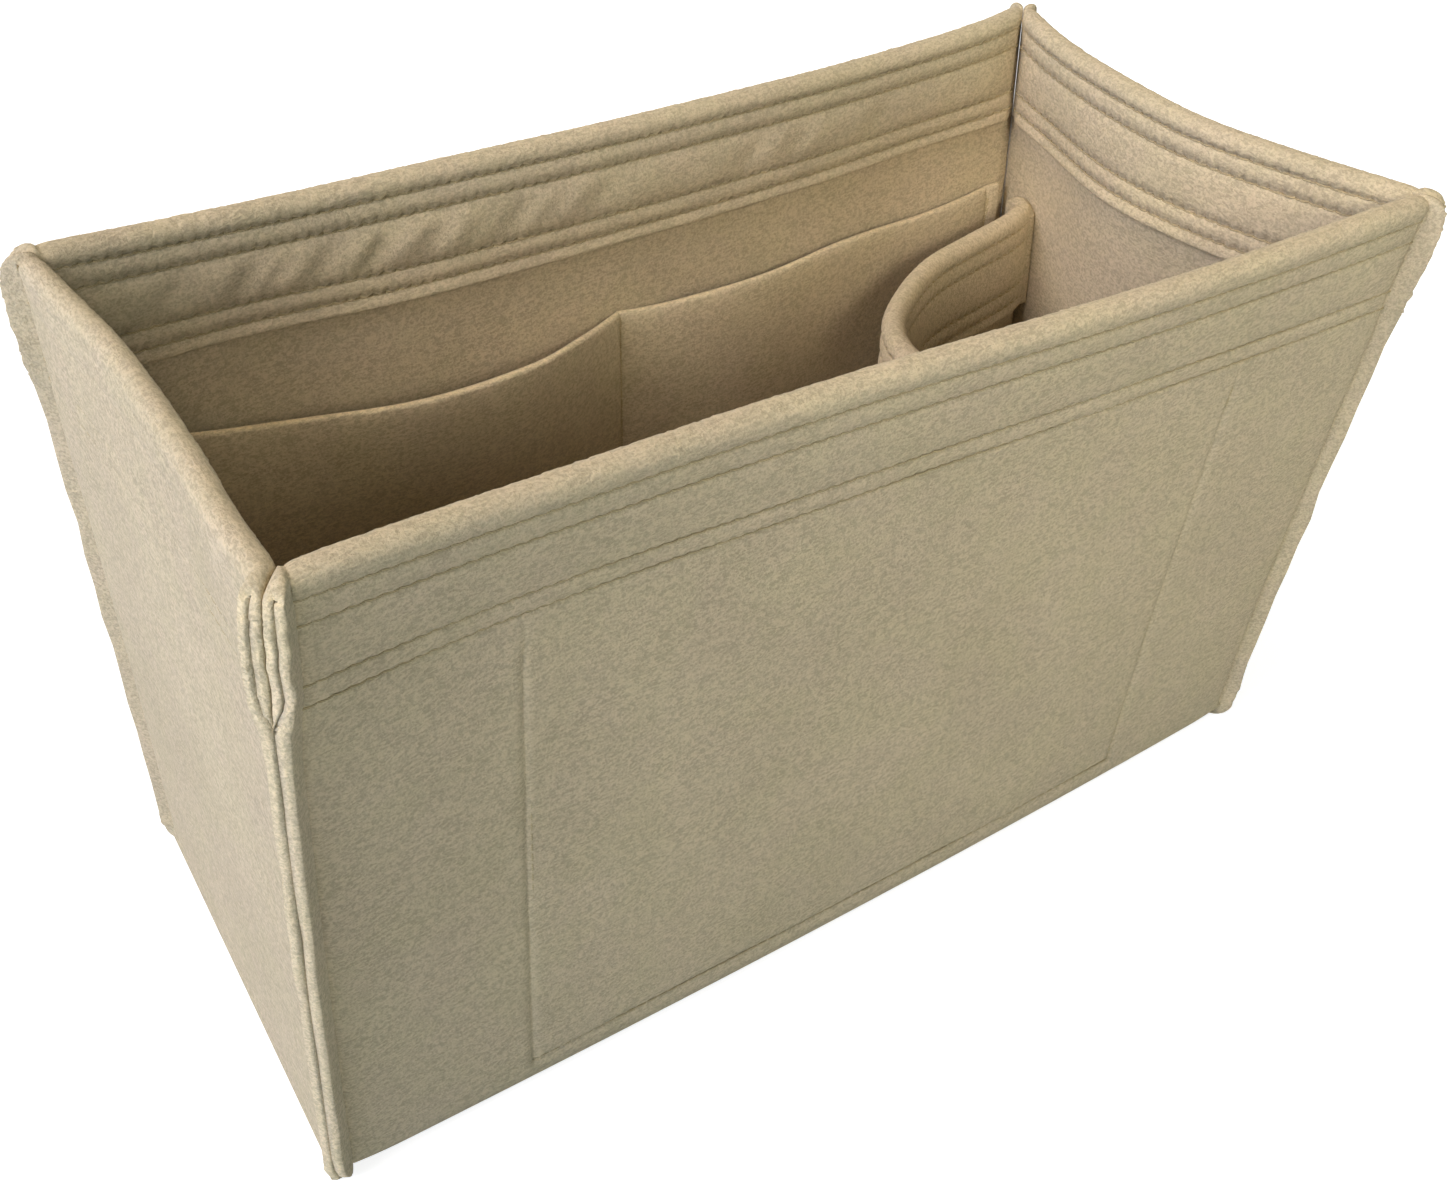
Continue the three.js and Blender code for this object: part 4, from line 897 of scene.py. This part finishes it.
def holder_rows():
    """The holder's grid rows, down to just above the base."""
    foot = HOLDER_TOP - HOLDER_FLOOR
    below = np.sort([*np.linspace(HEM_DEPTH, foot, HOLDER_HEIGHTS + 1)[1:], foot - HOLDER_FOOT_ROW])
    return over_the_fold(hem_depths(OTHER_ROW_SHARES), below)


def holder_grid(is_face):
    """One face of the holder's felt, with the relief of its four rows along the U."""
    theta, depth = holder_rows()
    ends = HOLDER_END_COLUMNS
    thickness = (OUTER_FACE if is_face else HALF_GAP) * np.ones((len(depth), len(holder_u) + 2 * ends))
    if is_face:
        relief = hem_relief(OTHER_ROW_SHARES, depth, holder_u * HOLDER_STITCHES) * (depth <= HEM_DEPTH)
        waves = soft_waves(holder_u * HOLDER_LENGTH, depth, HOLDER_SEED) * smooth(depth / HEM_DEPTH)
        end = np.minimum(holder_u, 1 - holder_u) * HOLDER_LENGTH
        thickness[:, ends:-ends] += (relief + waves) * HOLDER_CROWN_SHARE * (1 - np.exp(-end / PINCH_LENGTH))
    return holder_point(theta, depth, holder_u, thickness)


holder = felt_piece("holder_for_a_bottle", holder_grid(True), holder_grid(False))
place_felt(holder, "bottle_holder", cross_felt)

# Every hem is held by four rows of lockstitch in a thread of the felt's colour, painted darker than the felt
# as shade for the grooves and creases it lies in. A row shows as stitches of about 3.5 mm on both faces,
# drawn into the felt and dipping into a needle hole at either end.
THREAD_RADIUS = 0.27 * MM
STITCH_SINK = 0.55 * MM
STITCH_DIP = 0.55 * MM
STITCH_ARCH = 0.12 * MM
STITCH_STEPS = np.array([0.0, 0.07, 0.2, 0.5, 0.8, 0.93, 1.0])
STITCH_SIDES = 6
# The thread's colour is darker than the felt it matches: painted shade for the grooves and creases of the
# stitches.
SHADED_THREAD_COLOUR = np.array([0.43, 0.345, 0.2])


def stitch_mesh(name, holes, normals):
    """A row of stitches: each is a tube from hole to hole whose middle stands up as a flattened arch."""
    start, finish = holes[:-1, None], holes[1:, None]
    t = STITCH_STEPS[None, :, None]
    up = normals[:-1, None] * (1 - t) + normals[1:, None] * t
    arch = -STITCH_DIP + (STITCH_DIP + STITCH_ARCH) * (1 - np.abs(2 * t - 1) ** 5)
    centre = start * (1 - t) + finish * t + up * arch
    ahead = unit(np.gradient(centre, axis=1))
    beside = unit(np.cross(ahead, up))
    lifted = np.cross(beside, ahead)
    angle = np.arange(STITCH_SIDES) * 2 * np.pi / STITCH_SIDES
    ring = (lifted[:, :, None] * np.cos(angle)[:, None] + beside[:, :, None] * np.sin(angle)[:, None])
    points = centre[:, :, None] + ring * THREAD_RADIUS
    count, steps = points.shape[:2]
    index = np.arange(count * steps * STITCH_SIDES).reshape(count, steps, STITCH_SIDES)
    around = np.roll(index, -1, axis=2)
    tube = np.stack([index[:, :-1], around[:, :-1], around[:, 1:], index[:, 1:]], -1).reshape(-1, 4)
    caps = np.concatenate([index[:, 0, ::-1], index[:, -1]])
    piece = new_object(name, points.reshape(-1, 3), tube.tolist() + caps.tolist())
    piece.data.shade_smooth()
    return piece


def thread_finish():
    """Spun thread: a tight slanting twist in colour and height, and a slight gloss. Its colour is darker than
    the felt's, as painted shade for the grooves it lies in.
    """
    material, tree, shader = new_finish("sewing_thread")
    place = add(tree, "TexCoord", {}, "Object")
    wave = add(tree, "TexWave", {"Vector": place, "Scale": 900, "Distortion": 1.5}, "Fac",
               bands_direction="DIAGONAL")
    fill(shader, {"Base Color": ramped(tree, wave, 0, 1, SHADED_THREAD_COLOUR * 0.8, SHADED_THREAD_COLOUR * 1.15),
                  "Normal": add(tree, "Bump", {"Strength": 0.4, "Distance": 0.1 * MM, "Height": wave}),
                  "Roughness": 0.7, "Specular IOR Level": 0.3})
    return material


thread = thread_finish()


def sew(name, node, holes, normals):
    """Makes a row's stitches, gives them the thread's finish and body, and hides the model's part of the
    node's name.
    """
    piece = stitch_mesh(name, holes, normals)
    piece.data.materials.append(thread)
    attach(piece, "root")
    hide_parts(node)


def row_place(row_share, sign):
    """A hem row's depth and its angle round the fold: 0 outside, with a sign of 1, or half a turn inside."""
    return np.array([[row_share * HEM_DEPTH]]), np.array([[np.pi * (1 - sign) / 2]])


def hem_holes(side, row_share, sign):
    """The needle holes of a hem row on one face, and the felt's normals there."""
    depth, theta = row_place(row_share, sign)
    share, _ = wall_shares(side, HEIGHT - depth, sign * OUTER_FACE, bundle(depth, theta, True))
    share = share[:, ::len(STITCH_PHASES)]
    holes = wall_point(side, share, HEIGHT - depth, sign * (OUTER_FACE - STITCH_SINK))[0]
    return holes, outward(side, holes, sign)


THREAD_SIDES = {"outside": 1, "inside": -1}
for side in SIDES:
    for k, row_share in enumerate(SIDES[side]["rows"]):
        for face_name, sign in THREAD_SIDES.items():
            sew(f"{side}_hem_stitches_{k + 1}_{face_name}", f"{side}_hem_row_{k + 1}_{face_name}_thread",
                *hem_holes(side, row_share, sign))

# The seams that hold the end panels run down one corner, under the base and up the other corner.
# Their stitches sink into the crease between each wall and its allowance.
SEAM_PITCH = 3.4 * MM
CREASE_COLUMN = 7
SEAM_SINK = 0.15 * MM
FOOT_SEAM_SHARES = np.linspace(0.02, 0.98, 40)
FIRST_OUTER_ROW = len(hem_depths(OTHER_ROW_SHARES)) + FOLD_ROWS


def paced(points, normals, pitch):
    """Places at an even pitch along a line of points, with the normals between them."""
    travel = travelled(points)
    steps = np.linspace(0, travel[-1], int(travel[-1] / pitch) + 1)
    places, directions = (np.column_stack([np.interp(steps, travel, line[:, k]) for k in range(3)])
                          for line in (points, normals))
    return places, unit(directions)


def crease_line(grid, column, inwards):
    """A crease's points on a grid's face, and the direction halfway between its two sides."""
    at = grid[:, column]
    halfway = unit(unit(grid[:, column + 2 * inwards] - at) + unit(grid[:, column - 2 * inwards] - at))
    return at - halfway * SEAM_SINK, halfway


for side in ("left", "right"):
    column, inwards = (CREASE_COLUMN, 1) if side == "left" else (-1 - CREASE_COLUMN, -1)
    rows = slice(FIRST_OUTER_ROW, len(strip_face) - FIRST_OUTER_ROW)
    points, normals = crease_line(strip_face[rows], column, inwards)
    sew(f"{side}_end_seam_stitches_strip_side", f"{side}_end_seam_strip_side_thread",
        *paced(points, normals, SEAM_PITCH))
    panel_rows = panel_grids[side][FIRST_OUTER_ROW:-len(FOOT_HEIGHTS)]
    down, down_normals = crease_line(panel_rows, CREASE_COLUMN, 1)
    rise, rise_normals = crease_line(panel_rows, -1 - CREASE_COLUMN, -1)
    foot = wall_point(side, FOOT_SEAM_SHARES, BOTTOM_SEAM_HEIGHT, OUTER_FACE - STITCH_SINK)
    sew(f"{side}_end_seam_stitches_panel_side", f"{side}_end_seam_panel_side_thread",
        *paced(np.concatenate([down, foot, rise[::-1]]),
               np.concatenate([down_normals, outward(side, foot), rise_normals[::-1]]), SEAM_PITCH))

# The pockets are sewn on with one row of stitches each, and the back pocket has another down its middle.
POCKET_PITCH = 3.2 * MM
DIVIDER_FOOT = POCKET_ROW_HEIGHT + 1.4 * MM
TOP_MARGIN = 3 * MM
TACK_STEP, TACK_LENGTH = 0.8 * MM / BASE_LENGTH, 6.4 * MM


def pocket_line(side, places, slack_of, top_of, sign):
    """A line of stitches through a pocket and its wall, on one face: shares and heights made points."""
    share, height = places.T
    rise = (height - POCKET_FLOOR) / (top_of(share) - POCKET_FLOOR)
    slack = slack_of(share) * np.clip(rise, 0, 1) ** RISE_POWER
    off = OUTER_FACE - STITCH_SINK if sign > 0 else -(OUTER_FACE + slack - STITCH_SINK)
    points = wall_point(side, share, height, off)
    return points, outward(side, points, sign)


def pocket_route(low, high, top_of):
    """Down one side of a pocket, along its bottom and up the other side, with a back tack at both tops."""
    sides = [np.linspace((share, POCKET_ROW_HEIGHT), (share, top_of(share) - TOP_MARGIN), 30)
             for share in (low, high)]
    bottom = np.linspace((low, POCKET_ROW_HEIGHT), (high, POCKET_ROW_HEIGHT), 60)[1:-1]
    tacks = [side[-1] + np.linspace((TACK_STEP, 0), (TACK_STEP, -TACK_LENGTH), 4) for side in sides]
    return np.concatenate([tacks[0][::-1], sides[0][::-1], bottom, sides[1], tacks[1]])


divider = np.linspace((0.5, DIVIDER_FOOT), (0.5, back_pocket_top(0.5) - TOP_MARGIN / 2), 20)
back_route = pocket_route(BACK_LINES[0], BACK_LINES[-1], back_pocket_top)
front_route = pocket_route(*FRONT_LINES, front_pocket_top)
for name, side, route, slack_of, top_of in (
        ("back_pocket_seam", "back", back_route, back_slack, back_pocket_top),
        ("back_pocket_divider", "back", divider, back_slack, back_pocket_top),
        ("front_pocket_seam", "front", front_route, front_slack, front_pocket_top)):
    for face_name, sign in THREAD_SIDES.items():
        line = pocket_line(side, route, slack_of, top_of, sign)
        sew(f"{name}_stitches_{face_name}", f"{name}_{face_name}_thread", *paced(*line, POCKET_PITCH))

# The bottle holder's hem has the same four rows, and a seam through each allowance holds it to the panel.
for k, row_share in enumerate(OTHER_ROW_SHARES):
    for face_name, sign in THREAD_SIDES.items():
        depth, theta = row_place(row_share, sign)
        thickness = np.full((1, len(holder_u) + 2 * HOLDER_END_COLUMNS), OUTER_FACE - STITCH_SINK)
        line, flat = (holder_point(theta, depth, holder_u, thickness + more)[0] for more in (0, MM))
        chosen = slice(HOLDER_END_COLUMNS, -HOLDER_END_COLUMNS, len(STITCH_PHASES))
        sew(f"bottle_holder_stitches_{k + 1}_{face_name}", f"bottle_holder_row_{k + 1}_{face_name}_thread",
            line[chosen], (flat[chosen] - line[chosen]) / MM)

height = np.linspace(HOLDER_TOP - 2 * OUTER_FACE, HOLDER_FLOOR + FELT, 30)
for end, inset in (("back", HOLDER_ALLOWANCE / 2 - HOLDER_SEAM_INSET),
                   ("front", HOLDER_SEAM_INSET - HOLDER_ALLOWANCE / 2)):
    for face_name, sign in THREAD_SIDES.items():
        y = corner_line(f"{end}_right", height)[1] + inset
        off = LAYER_GAP + FELT - STITCH_SINK / 2 if sign > 0 else -(OUTER_FACE - STITCH_SINK / 2)
        points = np.column_stack([right_wall_x(y, height) + off, y, height])
        sew(f"bottle_holder_{end}_seam_stitches_{face_name}", f"bottle_holder_{end}_seam_{face_name}_thread",
            *paced(points, outward("right", points, sign), POCKET_PITCH))

# A pale floor for the insert to stand on, a soft window light from the upper left, weaker lamps all round
# and above, and a dim room. The camera sees the floor and the room as white, with the shadow kept.
FLOOR_SIZE = 60.0
FLOOR_COLOUR = (0.45, 0.45, 0.45)
FLOOR_GLOW_NEAR, FLOOR_GLOW_FAR = 0.82, 1.1
FLOOR_NEAR, FLOOR_FAR = 0.25, 0.9

corners = np.array([[-1, -1, 0], [1, -1, 0], [1, 1, 0], [-1, 1, 0]]) * FLOOR_SIZE / 2
floor = new_object("studio_floor", corners, [[0, 1, 2, 3]])
paint, tree, shader = new_finish("studio_floor_paint")
spot = add(tree, "TexCoord", {}, "Object")
apart = add(tree, "VectorMath", {0: spot}, "Value", operation="LENGTH")
brightness = add(tree, "MapRange", {"Value": apart, "From Min": FLOOR_NEAR, "From Max": FLOOR_FAR,
                                    "To Min": FLOOR_GLOW_NEAR, "To Max": FLOOR_GLOW_FAR})
seen = add(tree, "LightPath", {}, "Is Camera Ray")
fill(shader, {"Base Color": (*FLOOR_COLOUR, 1), "Roughness": 0.8, "Specular IOR Level": 0.0,
              "Emission Color": (1, 1, 1, 1),
              "Emission Strength": add(tree, "Math", {0: seen, 1: brightness}, operation="MULTIPLY")})
floor.data.materials.append(paint)

SIDE_ROOM, HIGH_ROOM = (0.37, 0.43, 0.46), (0.05, 0.04, 0.03)
ROOM_TURNS = (0.35, 0.75)
world = bpy.data.worlds.new("studio_room")
bpy.context.scene.world = world
world.use_nodes = True
room = world.node_tree
facing = add(room, "TexCoord", {}, "Generated")
upward = add(room, "SeparateXYZ", {"Vector": facing}, "Z")
shade = ramped(room, upward, *ROOM_TURNS, SIDE_ROOM, HIGH_ROOM)
sky = add(room, "Background", {"Color": shade, "Strength": 1})
white = add(room, "Background", {"Color": (1, 1, 1, 1), "Strength": 1})
seen = add(room, "LightPath", {}, "Is Camera Ray")
fill(room.nodes["World Output"], {"Surface": add(room, "MixShader", {"Fac": seen, 1: sky, 2: white})})


def soft_light(name, place, watts, aim=(0, 0, 0.1), size=0.8, spread=180):
    """A square lamp at a place, turned towards a point, with its watts of red, green and blue and the
    degrees that its light spreads over."""
    lamp = bpy.data.objects.new(name, bpy.data.lights.new(name, "AREA"))
    lamp.data.shape, lamp.data.size, lamp.data.spread = "SQUARE", size, np.radians(spread)
    lamp.data.energy, lamp.data.color = max(watts), np.array(watts) / max(watts)
    lamp.location = place
    lamp.rotation_euler = (Vector(place) - Vector(aim)).to_track_quat("Z", "Y").to_euler()
    bpy.context.scene.collection.objects.link(lamp)


LAMPS = {
    "left_light": {"place": (-1.6, -0.1, 0.2), "watts": (1.7, 4.9, 9.6)},
    "window_light": {"place": (-1.4, -0.1, 0.98), "watts": (21.6, 20.4, 22)},
    "top_light": {"place": (-0.4, 0.1, 1.4), "watts": (6.2, 5.3, 3.9)},
    "front_light": {"place": (-0.3, -1.1, 0.8), "watts": (0.31, 0.28, 0.22), "aim": (0.14, 0, 0.16),
                    "size": 0.35, "spread": 28},
    "fill_light": {"place": (-0.1, -1.7, 0.25), "watts": (1.6, 3.1, 3.9)},
    "back_light": {"place": (1.0, 1.5, 0.3), "watts": (14, 13.6, 12.6)},
}
for name, settings in LAMPS.items():
    soft_light(name, **settings)

bpy.context.scene.view_settings.view_transform = "Standard"
